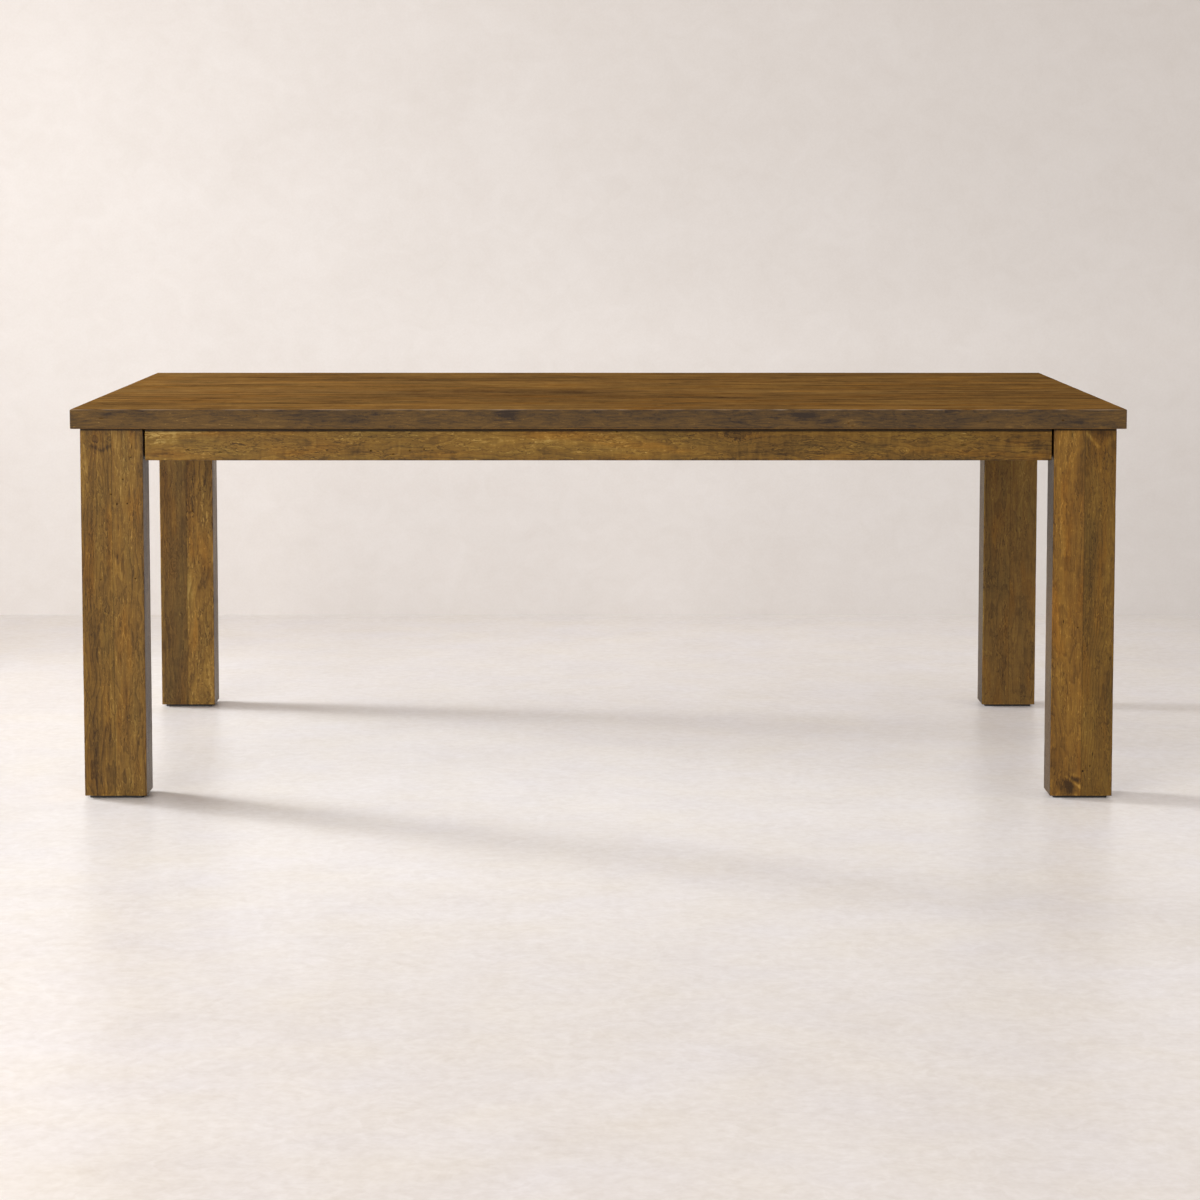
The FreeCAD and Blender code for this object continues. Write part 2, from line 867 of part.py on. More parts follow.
def pad_screw_places():
    for _, side_x, side_y in CORNERS:
        for board in (-1, 1):
            yield (
                (leg_line_x - leg_board_width + leg_board_width / 2 * board) * side_x,
                (leg_line_y - size("leg_depth") / 2) * side_y,
                size("pad_screw_recess"),
            ), OVER


# The whole table

def build():
    """Builds every sub-part and gives them back in the order of assembly."""
    subparts = [top_board(number) for number in range(1, TOP_BOARD_COUNT + 1)]
    for corner, side_x, side_y in CORNERS:
        for which in ("outer", "inner"):
            subparts.append(leg_board(corner, side_x, side_y, which))
        subparts.append(foot_pad(corner, side_x, side_y))
        subparts.append(corner_block(corner, side_x, side_y))

    long_end = block_screw_along - size("leg_width") - size("apron_reveal")
    short_end = block_screw_along - size("leg_depth") - size("apron_reveal")
    clip = top_clip()
    clip_screw = screw("clip_screw")
    for name, frame, from_end, rail_shares, clip_shares in (
        ("front", FRONT_APRON, long_end, RAIL_SHARES, LONG_CLIP_SHARES),
        ("back", BACK_APRON, long_end, RAIL_SHARES, LONG_CLIP_SHARES),
        ("left", LEFT_APRON, short_end, (), SHORT_CLIP_SHARES),
        ("right", RIGHT_APRON, short_end, (), SHORT_CLIP_SHARES),
    ):
        subparts.append(apron(name, frame, from_end, rail_shares))
        subparts.append(group(f"top_clips_{name}", clip, clip_places(frame, clip_shares)))

    for number, share in enumerate(RAIL_SHARES, start=1):
        subparts.append(cross_rail(number, share))

    bolt = hanger_bolt()
    washer = ring(
        "flat_washer_pattern", size("washer_diameter"), bolt_hole, size("washer_thickness")
    )
    spring_washer = ring(
        "spring_washer_pattern", size("spring_washer_diameter"), bolt_hole,
        size("spring_washer_thickness"), size("spring_washer_gap"),
    )
    nut = hex_nut()
    block_screw = screw("block_screw")
    spring_start = size("block_thickness") + size("washer_thickness")
    nut_start = spring_start + size("spring_washer_thickness")
    for corner, side_x, side_y in CORNERS:
        for name, master, distance in (
            ("hanger_bolts", bolt, -size("bolt_in_leg")),
            ("flat_washers", washer, size("block_thickness")),
            ("spring_washers", spring_washer, spring_start),
            ("hex_nuts", nut, nut_start),
        ):
            places = bolt_places(side_x, side_y, distance)
            subparts.append(group(f"{name}_{corner}", master, places))
        subparts.append(
            group(f"block_screws_{corner}", block_screw, block_screw_places(side_x, side_y))
        )

    rail_screw = screw("rail_screw")
    rail_seat = rail_low + size("rail_screw_recess")
    subparts.append(group(
        "rail_screws", rail_screw,
        [((across, inward, rail_seat), OVER) for across, inward in rail_screw_places()],
    ))
    clip_seat = underside - size("clip_gauge")
    subparts.append(group(
        "clip_screws", clip_screw,
        [((across, inward, clip_seat), OVER) for across, inward in clip_screw_places()],
    ))
    subparts.append(group("foot_pad_screws", screw("pad_screw"), pad_screw_places()))
    return subparts


def write(subparts):
    """Tests every object of the document, and only then writes the sub-parts."""
    document.recompute()
    for item in document.Objects:
        if "Invalid" in item.State or "Error" in item.State:
            raise RuntimeError(f"{item.Label} failed: {item.State}")
    for item in subparts:
        if item.Shape.isNull() or not item.Shape.isValid() or not item.Shape.Solids:
            raise RuntimeError(f"{item.Label} has no valid solid")
    os.makedirs("parts", exist_ok=True)
    for item in subparts:
        item.Shape.exportStep(f"parts/{item.Label}.step")
    solids = sum(len(item.Shape.Solids) for item in subparts)
    print(f"{len(subparts)} sub-parts, {solids} solids")


write(build())
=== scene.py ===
"""Looks of a plank-top dining table, dressed around its packed construction.

Every length is in metres, in the frame of the construction: +X along the table, +Y from the front to the
back and +Z up, with the origin on the floor under the middle. Lengths inside a wood finish are in
millimetres, because grain is easier to picture that way.
"""

from __future__ import annotations

import logging
import math
from dataclasses import dataclass, field
from enum import Enum
from typing import Callable, Iterable, Sequence, Union

import bmesh
import bpy
import numpy as np
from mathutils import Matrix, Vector

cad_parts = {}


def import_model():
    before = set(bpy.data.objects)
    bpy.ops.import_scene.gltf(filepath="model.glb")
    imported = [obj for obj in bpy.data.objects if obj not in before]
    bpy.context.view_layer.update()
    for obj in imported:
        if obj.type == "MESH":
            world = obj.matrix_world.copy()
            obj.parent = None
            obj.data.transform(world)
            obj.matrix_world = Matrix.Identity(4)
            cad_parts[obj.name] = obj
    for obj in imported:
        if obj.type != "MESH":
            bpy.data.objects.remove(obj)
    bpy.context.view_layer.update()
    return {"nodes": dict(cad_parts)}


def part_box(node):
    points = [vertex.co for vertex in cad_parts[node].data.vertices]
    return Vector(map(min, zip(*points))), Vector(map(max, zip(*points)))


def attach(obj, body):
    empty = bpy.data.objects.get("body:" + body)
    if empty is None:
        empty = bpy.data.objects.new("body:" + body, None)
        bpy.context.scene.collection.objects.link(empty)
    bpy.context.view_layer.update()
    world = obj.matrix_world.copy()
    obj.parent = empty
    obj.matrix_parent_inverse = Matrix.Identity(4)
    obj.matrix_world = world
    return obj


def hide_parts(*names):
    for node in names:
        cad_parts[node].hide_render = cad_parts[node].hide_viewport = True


LOG = logging.getLogger("dining_table")

BODY = "root"
MM = 0.001
METRE = 1000.0
CLOSE = 1e-5
PLAIN_TINT = (1.0, 1.0, 1.0)

Socket = bpy.types.NodeSocket
Piece = bpy.types.Object
Material = bpy.types.Material
Value = Union[float, Socket]
Weighted = tuple[Value, Value]
Triple = tuple[float, float, float]
Carving = Callable[[np.ndarray], np.ndarray]


# Shader nodes


class Bench:
    """Lays out the nodes of one material with short calls."""

    def __init__(self, name: str) -> None:
        """Makes an empty material.

        Args:
            name: The material's name.
        """
        self.material = bpy.data.materials.new(name)
        self.material.use_nodes = True
        self.tree = self.material.node_tree
        self.tree.nodes.clear()

    def node(self, kind: str, **settings: object) -> bpy.types.Node:
        """Adds a node.

        Args:
            kind: The node's type name without its leading ShaderNode.
            settings: Properties to set on it.

        Returns:
            The new node.
        """
        made = self.tree.nodes.new("ShaderNode" + kind)
        for name, value in settings.items():
            setattr(made, name, value)
        return made

    def feed(self, socket: Socket, value: object) -> None:
        """Links a socket to another one, or sets its own value.

        Args:
            socket: The input to feed.
            value: An output socket, or a plain value.
        """
        if isinstance(value, Socket):
            self.tree.links.new(value, socket)
        else:
            socket.default_value = value

    def maths(self, operation: str, *values: Value) -> Socket:
        """Adds a Math node.

        Args:
            operation: The operation's name.
            values: Its inputs, in order.

        Returns:
            The result.
        """
        made = self.node("Math", operation=operation)
        for socket, value in zip(made.inputs, values):
            self.feed(socket, value)
        return made.outputs[0]

    def total(self, *terms: Union[Value, Weighted]) -> Socket:
        """Adds several terms up.

        Args:
            terms: Values, or pairs of a value and its weight.

        Returns:
            The sum.
        """
        values = [self.times(*term) if isinstance(term, tuple) else term for term in terms]
        result = values[0]
        for value in values[1:]:
            result = self.maths("ADD", result, value)
        return result

    def times(self, first: Value, second: Value) -> Socket:
        """Multiplies two values."""
        return self.maths("MULTIPLY", first, second)

    def vector(self, operation: str, *values: object) -> Socket:
        """Adds a Vector Math node.

        Args:
            operation: The operation's name.
            values: Its inputs, in order.

        Returns:
            The vector result, or the value where the operation gives a number.
        """
        made = self.node("VectorMath", operation=operation)
        for socket, value in zip(made.inputs, values):
            self.feed(socket, value)
        gives_number = operation in ("LENGTH", "DISTANCE", "DOT_PRODUCT")
        return made.outputs["Value" if gives_number else "Vector"]

    def noise(self, where: Socket, size: Triple, detail: float = 2.0,
              roughness: float = 0.5, distortion: float = 0.0) -> Socket:
        """Cloudy noise about zero, mostly from -0.5 to 0.5.

        Args:
            where: The place, in millimetres.
            size: The size of one cloud along each direction, in millimetres.
            detail: How many finer layers it has.
            roughness: How strong the finer layers are.
            distortion: How much the clouds are swirled.

        Returns:
            The noise.
        """
        place = self.vector("DIVIDE", where, size)
        made = self.node("TexNoise")
        self.feed(made.inputs["Vector"], place)
        made.inputs["Scale"].default_value = 1.0
        made.inputs["Detail"].default_value = detail
        made.inputs["Roughness"].default_value = roughness
        made.inputs["Distortion"].default_value = distortion
        return self.times(self.maths("SUBTRACT", made.outputs["Fac"], 0.5), 2.0)

    def swirl(self, where: Socket, size: Triple, amount: Triple) -> Socket:
        """Stirs a place with cloudy noise.

        Args:
            where: The place, in millimetres.
            size: The size of one cloud along each direction.
            amount: How far the place is moved along each direction.

        Returns:
            The stirred place.
        """
        made = self.node("TexNoise")
        self.feed(made.inputs["Vector"], self.vector("DIVIDE", where, size))
        made.inputs["Scale"].default_value = 1.0
        made.inputs["Detail"].default_value = 1.5
        push = self.vector("SUBTRACT", made.outputs["Color"], (0.5, 0.5, 0.5))
        doubled = tuple(2.0 * part for part in amount)
        return self.vector("ADD", where, self.vector("MULTIPLY", push, doubled))

    def smooth(self, value: Value, low: float, high: float) -> Socket:
        """A smooth step.

        Args:
            value: What is stepped.
            low: Where the result starts to leave 0.
            high: Where it reaches 1.

        Returns:
            A value from 0 to 1.
        """
        made = self.node("MapRange", interpolation_type="SMOOTHSTEP")
        self.feed(made.inputs["Value"], value)
        made.inputs["From Min"].default_value = low
        made.inputs["From Max"].default_value = high
        return made.outputs["Result"]

    def mix(self, share: Value, first: object, second: object, blend: str = "MIX") -> Socket:
        """Mixes two colours.

        Args:
            share: How much of the second colour there is.
            first: The first colour.
            second: The second colour.
            blend: The kind of mix.

        Returns:
            The mixed colour.
        """
        made = self.node("Mix", data_type="RGBA", blend_type=blend)
        self.feed(made.inputs[0], share)
        self.feed(made.inputs[6], first)
        self.feed(made.inputs[7], second)
        return made.outputs[2]

    def ramp(self, value: Value, stops: Sequence[tuple[float, Triple]]) -> Socket:
        """A colour ramp.

        Args:
            value: Where to read the ramp.
            stops: Each stop's place and colour.

        Returns:
            The colour.
        """
        made = self.node("ValToRGB")
        elements = made.color_ramp.elements
        while len(elements) < len(stops):
            elements.new(0.5)
        for element, (place, colour) in zip(elements, stops):
            element.position = place
            element.color = (*colour, 1.0)
        self.feed(made.inputs[0], value)
        return made.outputs[0]

    def split(self, where: Socket) -> Sequence[Socket]:
        """The three parts of a vector."""
        made = self.node("SeparateXYZ")
        self.feed(made.inputs[0], where)
        return made.outputs

    def pool(self, where: Socket, centre: Triple, reach: Triple) -> Socket:
        """A soft round pool.

        Args:
            where: The place, in millimetres.
            centre: The pool's middle.
            reach: How far it reaches along each direction.

        Returns:
            A value that falls off from 1 in the middle.
        """
        offset = self.vector("DIVIDE", self.vector("SUBTRACT", where, centre), reach)
        return self.maths("EXPONENT", self.times(self.vector("DOT_PRODUCT", offset, offset), -1.0))

    def place(self) -> Socket:
        """The place on the table, in millimetres."""
        coordinates = self.node("TexCoord").outputs["Object"]
        return self.vector("MULTIPLY", coordinates, (METRE, METRE, METRE))

    def attribute(self, name: str) -> Socket:
        """A number that the mesh carries at each vertex."""
        return self.node("Attribute", attribute_type="GEOMETRY", attribute_name=name).outputs["Fac"]

    def bump(self, height: Value, distance: float, strength: float) -> Socket:
        """Turns a height into a shading normal.

        Args:
            height: The height, from about 0 to 1.
            distance: The depth that 1 stands for, in metres.
            strength: How strongly it shows.

        Returns:
            The normal.
        """
        made = self.node("Bump")
        made.inputs["Distance"].default_value = distance
        made.inputs["Strength"].default_value = strength
        self.feed(made.inputs["Height"], height)
        return made.outputs["Normal"]

    def surface(self, constants: dict[str, object], **fed: object) -> Material:
        """Closes the material with a Principled shader.

        Args:
            constants: Values set on the shader's own sockets, by the sockets' names.
            fed: Sockets to feed, by name, with an underscore for each space.

        Returns:
            The finished material.
        """
        shader = self.node("BsdfPrincipled")
        for name, value in constants.items():
            shader.inputs[name].default_value = value
        for name, value in fed.items():
            self.feed(shader.inputs[name.replace("_", " ")], value)
        out = self.node("OutputMaterial")
        self.tree.links.new(shader.outputs["BSDF"], out.inputs["Surface"])
        return self.material


# Wood


class Grain(Enum):
    """Which way a board's fibres run, as the order in which X, Y and Z are read."""

    ALONG_X = (0, 1, 2)
    ALONG_Y = (1, 2, 0)
    ALONG_Z = (2, 0, 1)


class Mark(Enum):
    """The natural marks that a board can show."""

    KNOT = "knot"
    PIN = "pin"
    DARK = "dark"
    LIGHT = "light"
    CHECK = "check"


KNOT, PIN, DARK, LIGHT, CHECK = Mark
Row = tuple[Mark, float, float, float, float, float]


@dataclass(frozen=True)
class Feature:
    """A mark at one place on a board.

    Attributes:
        mark: What it is.
        centre: Its place on the table, in millimetres.
        reach: How far it reaches along X, Y and Z, in millimetres.
        strength: How strongly it shows, 1 being usual.
    """

    mark: Mark
    centre: Triple
    reach: Triple
    strength: float = 1.0


def trail(mark: Mark, start: tuple[float, float], end: tuple[float, float], wide: float,
          strength: float) -> list[Row]:
    """Marks in a slanting line, so close that they read as one streak.

    Args:
        mark: What they are.
        start: Where the line starts, as x and z.
        end: Where it ends.
        wide: The reach of each mark.
        strength: How strongly each shows.

    Returns:
        The rows of the marks.
    """
    steps = math.ceil(math.dist(start, end) / wide)
    shares = [step / steps for step in range(steps + 1)]
    return [(mark, start[0] + (end[0] - start[0]) * share, start[1] + (end[1] - start[1]) * share,
             wide, wide, strength) for share in shares]


def face_marks(face: float, *rows: Row) -> tuple[Feature, ...]:
    """Marks on a face that looks to the front or the back.

    Args:
        face: The face's place along Y, in millimetres.
        rows: Each mark's kind, place along X and Z, reach along X and Z, and strength.

    Returns:
        The marks, each with the depth of its kind.
    """
    depths = {KNOT: 28.0, PIN: 3.0, CHECK: 3.0, DARK: 12.0, LIGHT: 8.0}
    return tuple(Feature(kind, (x, face, z), (wide, depths[kind], tall), strength)
                 for kind, x, z, wide, tall, strength in rows)


@dataclass(frozen=True)
class Stain:
    """The colours of one stained wood, from its darkest pores to its palest streaks.

    Attributes:
        name: The stain's name.
        umber: The darkest colour.
        brown: The colour of the late wood.
        middle: The usual colour.
        golden: The colour of the early wood.
        pale: The palest colour.
        gloss: The specular level of its lacquer.
        edge: The middle colour of upright faces, where the stain took differently.
        edge_share: How much the upright faces differ.
    """

    name: str
    umber: Triple
    brown: Triple
    middle: Triple
    golden: Triple
    pale: Triple
    gloss: float = 0.14
    edge: Triple = (0.1, 0.06, 0.03)
    edge_share: float = 0.0

    def stops(self) -> list[tuple[float, Triple]]:
        """The stops of its colour ramp."""
        return [(0.0, self.umber), (0.25, self.brown), (0.5, self.middle),
                (0.75, self.golden), (1.0, self.pale)]


@dataclass(frozen=True)
class Figure:
    """How lively the wood is: the strength of each layer of its pattern, and the width of its bands."""

    cloud: float = 0.48
    band: float = 0.30
    band_width: float = 17.0
    blotch: float = 0.12
    streak: float = 0.42
    fibre: float = 0.20
    squiggle: float = 0.22
    dash: float = 0.21
    fleck: float = 0.22
    ring: float = 0.19
    curl: float = 0.12


TOP_STAIN = Stain(
    "top_stain", (0.060, 0.031, 0.013), (0.116, 0.061, 0.021), (0.172, 0.090, 0.027),
    (0.228, 0.119, 0.033), (0.300, 0.166, 0.047), gloss=0.0, edge=(0.112, 0.067, 0.029), edge_share=1.0,
)
LEG_STAIN = Stain(
    "leg_stain", (0.050, 0.027, 0.009), (0.112, 0.059, 0.014), (0.175, 0.092, 0.019),
    (0.240, 0.131, 0.024), (0.370, 0.226, 0.052),
)
APRON_STAIN = Stain(
    "apron_stain", (0.052, 0.029, 0.009), (0.115, 0.063, 0.014), (0.180, 0.098, 0.018),
    (0.250, 0.144, 0.026), (0.420, 0.282, 0.075),
)
FRAME_STAIN = Stain(
    "frame_stain", (0.110, 0.066, 0.028), (0.215, 0.133, 0.060), (0.300, 0.192, 0.090),
    (0.370, 0.245, 0.122), (0.460, 0.330, 0.180),
)


@dataclass(frozen=True)
class BoardFinish:
    """The look of one board, cut from its own place in the tree.

    Attributes:
        stain: Its colours.
        grain: Which way its fibres run.
        seed: Where in the endless pattern the board is cut.
        middle: The board's middle, in millimetres.
        pith: How far the heart of the tree lies across and through the board, in millimetres.
        ring: The distance between growth rings, in millimetres.
        figure: The strength of each layer of its pattern.
        tint: A colour that multiplies the board's own.
        features: The marks that it shows.
        painted_arris_highlight: Whether the upper edges end in a pale line of rubbed wood and painted
            highlight, or in a dark one.
        side: A colour that multiplies the faces that look along the table.
    """

    stain: Stain
    grain: Grain
    seed: int
    middle: Triple
    pith: tuple[float, float]
    ring: float
    figure: Figure
    tint: Triple = PLAIN_TINT
    features: tuple[Feature, ...] = ()
    # side: A colour that multiplies the faces that look along the table, painting reflection and shade on
    # them.
    painted_arris_highlight: bool = False
    side: Triple = PLAIN_TINT

    # Pale rubbed wood, laid on the upper arrises as a painted highlight.
    WORN_ARRIS_HIGHLIGHT = (0.42, 0.32, 0.225, 1.0)
    CORE = (0.026, 0.016, 0.008, 1.0)
    # Near-black for glue lines and for the painted shade under the top's overhang.
    GLUE_AND_SHADE = (0.016, 0.010, 0.005, 1.0)
    # Near-black painted shade inside pin holes and checks.
    HOLE_SHADE = (0.006, 0.004, 0.003, 1.0)

    def material(self, name: str) -> Material:
        """Makes the board's material.

        Args:
            name: The board's name.

        Returns:
            The material.
        """
        bench = Bench("wood_" + name)
        place = bench.place()
        marks = BoardMarks.gather(bench, place, self.features)
        flowing = bench.vector("SUBTRACT", place, marks.flow)
        board = self._board_place(bench, flowing)
        stirred = bench.swirl(board, (70.0, 17.0, 17.0), (10.0, 3.4, 3.4))
        ring, ring_light = self._rings(bench, flowing, board, marks.swell)
        fibre = bench.noise(board, (42.0, 0.9, 0.9), 2.0, 0.6)
        relief = self._relief(bench, board, stirred)
        tone = self._tone(bench, board, stirred, ring, ring_light, fibre, relief)
        tone = bench.total(tone, (marks.dark, -0.36), (marks.light, 0.30))
        edge_wear_and_light = bench.attribute("edge_wear_and_light")
        tone = bench.total(tone, self._arris(bench, edge_wear_and_light, stirred))
        colour = bench.ramp(tone, self.stain.stops())
        colour = self._hue(bench, board, colour)
        colour = self._faces(bench, board, colour)
        if self.stain.edge_share:
            colour = self._edge_band(bench, board, stirred, colour, marks)
        if self.painted_arris_highlight:
            # Painted highlight: a pale line along the upward-facing rounded edges, with rubbed wear.
            lit_arris = bench.times(bench.smooth(edge_wear_and_light, 0.45, 0.85), bench.smooth(self._rise(bench), 0.05, 0.40))
            colour = bench.mix(bench.times(lit_arris, 0.80), colour, self.WORN_ARRIS_HIGHLIGHT)
        colour = bench.mix(bench.times(marks.core, 0.88), colour, self.CORE)
        # Glue lines and the painted shade under the top's overhang go near-black.
        colour = bench.mix(bench.times(bench.attribute("glue_and_shade"), 0.92), colour, self.GLUE_AND_SHADE)
        # Pin holes and checks are filled with painted shade.
        colour = bench.mix(marks.hole, colour, self.HOLE_SHADE)
        sheen = bench.total(0.44, (fibre, 0.10), (relief["dash"], 0.14), (tone, -0.05),
                            (marks.hole, 0.4), (edge_wear_and_light, -0.06))
        height = bench.total((fibre, 0.30), (relief["dash"], -0.6), (relief["line"], -0.5),
                             (relief["wave"], 0.8), (ring, -0.25), (marks.core, -0.6))
        normal = bench.bump(height, 0.00035, 0.75)
        return bench.surface({"Specular IOR Level": self.stain.gloss},
                             Base_Color=colour, Roughness=sheen, Normal=normal)

    def _board_place(self, bench: Bench, place: Socket) -> Socket:
        """Turns a place on the table into one in the tree.

        Args:
            bench: The material's bench.
            place: The place on the table.

        Returns:
            The place along, across and through the board, with the board's own offset.
        """
        parts = bench.split(place)
        joined = bench.node("CombineXYZ")
        for number, axis in enumerate(self.grain.value):
            bench.feed(joined.inputs[number], parts[axis])
        luck = np.random.default_rng(self.seed)
        return bench.vector("ADD", joined.outputs[0], tuple(luck.uniform(-5000.0, 5000.0, 3)))

    def _rings(self, bench: Bench, place: Socket, board: Socket, swell: Value) -> tuple[Socket, Socket]:
        """The growth rings, round a heart that runs nearly along the board.

        Args:
            bench: The material's bench.
            place: The place on the table.
            board: The place in the tree.
            swell: How far the rings are pushed out by knots, in rings.

        Returns:
            The dark line that ends each ring, and the pale one that follows it.
        """
        luck = np.random.default_rng(self.seed + 1)
        parts = bench.split(bench.vector("SUBTRACT", place, self.middle))
        length, across, through = (parts[axis] for axis in self.grain.value)
        lean = luck.uniform(-0.045, 0.045, 2)
        warp = bench.noise(board, (420.0, 90.0, 90.0), 2.0, 0.45)
        sway = bench.noise(board, (80.0, 24.0, 24.0), 3.0, 0.55)
        first = bench.total(across, (length, lean[0]), -self.pith[0], (warp, 34.0))
        second = bench.total(through, (length, lean[1]), -self.pith[1], (warp, -22.0))
        radius = bench.maths("SQRT", bench.total((first, first), (second, second)))
        turn = bench.total(bench.maths("DIVIDE", radius, self.ring), (sway, 1.7), swell)
        saw = bench.maths("FRACT", turn)
        late = bench.smooth(saw, 0.45, 0.88)
        drop = bench.smooth(bench.maths("SUBTRACT", 1.0, saw), 0.0, 0.10)
        pale = bench.smooth(bench.maths("SUBTRACT", 0.30, saw), 0.0, 0.22)
        return bench.times(late, drop), pale

    def _relief(self, bench: Bench, board: Socket, stirred: Socket) -> dict[str, Socket]:
        """The brushed relief: curly lines with a painted highlight on one flank, dashes and flecks.

        Args:
            bench: The material's bench.
            board: The place in the tree.
            stirred: The same, with its fibres stirred.

        Returns:
            Each kind of relief by name.
        """
        wave = bench.noise(stirred, (24.0, 4.6, 4.6), 2.0, 0.5, 0.8)
        line = bench.maths("SUBTRACT", 1.0, bench.smooth(bench.maths("ABSOLUTE", wave), 0.0, 0.11))
        rise = bench.smooth(wave, 0.06, 0.16)
        fall = bench.maths("SUBTRACT", 1.0, bench.smooth(wave, 0.20, 0.36))
        grit = bench.noise(board, (7.5, 2.1, 2.1), 1.0)
        return {
            "wave": wave, "line": line, "flank": bench.times(rise, fall),
            "dash": bench.smooth(grit, 0.24, 0.46),
            "fleck": bench.smooth(bench.times(grit, -1.0), 0.26, 0.50),
        }

    def _tone(self, bench: Bench, board: Socket, stirred: Socket, ring: Value,
              ring_light: Value, fibre: Value, relief: dict[str, Socket]) -> Value:
        """How pale the wood is, from its streaks, clouds and figure.

        Args:
            bench: The material's bench.
            board: The place in the tree.
            stirred: The same, with its fibres stirred.
            ring: The dark lines of the growth rings.
            ring_light: The pale lines beside them.
            fibre: The finest fibres.
            relief: The brushed relief.

        Returns:
            The tone about 0.5.
        """
        lively = self.figure
        cloud = bench.noise(board, (260.0, 62.0, 62.0), 3.0, 0.5, 0.3)
        band = bench.noise(board, (560.0, lively.band_width, lively.band_width), 3.0, 0.60)
        blotch = bench.noise(stirred, (72.0, 52.0, 52.0), 3.0, 0.62, 0.6)
        streak = bench.noise(stirred, (120.0, 5.6, 5.6), 4.0, 0.62)
        patch = bench.noise(board, (70.0, 22.0, 22.0), 2.0)
        here = bench.smooth(patch, -0.15, 0.22)
        there = bench.maths("SUBTRACT", 1.0, here)
        curl = bench.noise(board, (11.0, 46.0, 46.0), 1.5, 0.5, 0.7)
        # Dark curly lines, partly grain and partly painted groove shade, with a painted highlight on one
        # flank.
        lines = bench.total((relief["line"], -0.75), (relief["flank"], 0.55))
        rings = bench.total((ring, -1.0), (ring_light, 0.35), 0.18)
        return bench.total(
            0.5, (cloud, lively.cloud), (band, lively.band), (blotch, lively.blotch),
            (streak, lively.streak), (fibre, lively.fibre),
            (bench.times(lines, bench.total(0.15, (here, 1.15))), lively.squiggle),
            (bench.times(relief["dash"], bench.total(0.45, here)), -lively.dash),
            (relief["fleck"], lively.fleck),
            (bench.times(rings, bench.total(0.25, there)), lively.ring),
            (bench.times(curl, there), lively.curl),
        )

    def _arris(self, bench: Bench, edge_wear_and_light: Value, stirred: Socket) -> Value:
        """How edges differ: paler in patches just inside, as rubbed wear and painted highlight, and darker
        at the very corner.

        Args:
            bench: The material's bench.
            edge_wear_and_light: How near the edge is.
            stirred: The place in the tree.

        Returns:
            What to add to the tone.
        """
        patchy = bench.smooth(bench.noise(stirred, (34.0, 5.0, 5.0), 2.0), -0.30, 0.35)
        inside = bench.times(bench.smooth(edge_wear_and_light, 0.05, 0.30), patchy)
        if self.painted_arris_highlight:
            return bench.times(inside, 0.14)
        corner = bench.smooth(edge_wear_and_light, 0.62, 0.92)
        return bench.total((inside, 0.26), (corner, -0.42))

    def _hue(self, bench: Bench, board: Socket, colour: Value) -> Socket:
        """Lets the stain wander between an orange and an olive cast, and adds the board's tint."""
        cast = bench.noise(board, (170.0, 30.0, 30.0), 3.0, 0.55)
        warm = bench.mix(bench.smooth(cast, 0.0, 0.38), (1.0, 1.0, 1.0, 1.0), (1.09, 0.98, 0.80, 1.0))
        cool = bench.mix(bench.smooth(bench.times(cast, -1.0), 0.0, 0.38), warm, (0.91, 0.96, 1.02, 1.0))
        tinted = bench.mix(1.0, colour, cool, "MULTIPLY")
        return bench.mix(1.0, tinted, (*self.tint, 1.0), "MULTIPLY")

    def _rise(self, bench: Bench) -> Socket:
        """How far the surface looks up, from -1 to 1."""
        return bench.split(bench.node("TexCoord").outputs["Normal"])[2]

    def _facing(self, bench: Bench, axis: int) -> Socket:
        """How squarely the surface faces along one axis of the table, either way."""
        direction = [0.0, 0.0, 0.0]
        direction[axis] = 1.0
        normal = bench.node("TexCoord").outputs["Normal"]
        squarely = bench.maths("ABSOLUTE", bench.vector("DOT_PRODUCT", normal, tuple(direction)))
        return bench.smooth(squarely, 0.55, 0.95)

    def _faces(self, bench: Bench, board: Socket, colour: Value) -> Value:
        """Darkens the end grain, which drinks more stain, and paints reflection and shade onto the faces
        along the table.

        Args:
            bench: The material's bench.
            board: The place in the tree.
            colour: The colour so far.

        Returns:
            The colour of every face.
        """
        speckle = bench.smooth(bench.noise(board, (900.0, 0.9, 0.9), 2.0, 0.6), 0.05, 0.40)
        shade = bench.mix(speckle, (0.74, 0.70, 0.70, 1.0), (0.42, 0.38, 0.38, 1.0))
        ends = bench.mix(1.0, colour, shade, "MULTIPLY")
        colour = bench.mix(self._facing(bench, self.grain.value[0]), colour, ends)
        # Painted reflection and shade on the faces that look along the table.
        if self.side != PLAIN_TINT:
            side = bench.mix(1.0, colour, (*self.side, 1.0), "MULTIPLY")
            colour = bench.mix(self._facing(bench, 0), colour, side)
        return colour

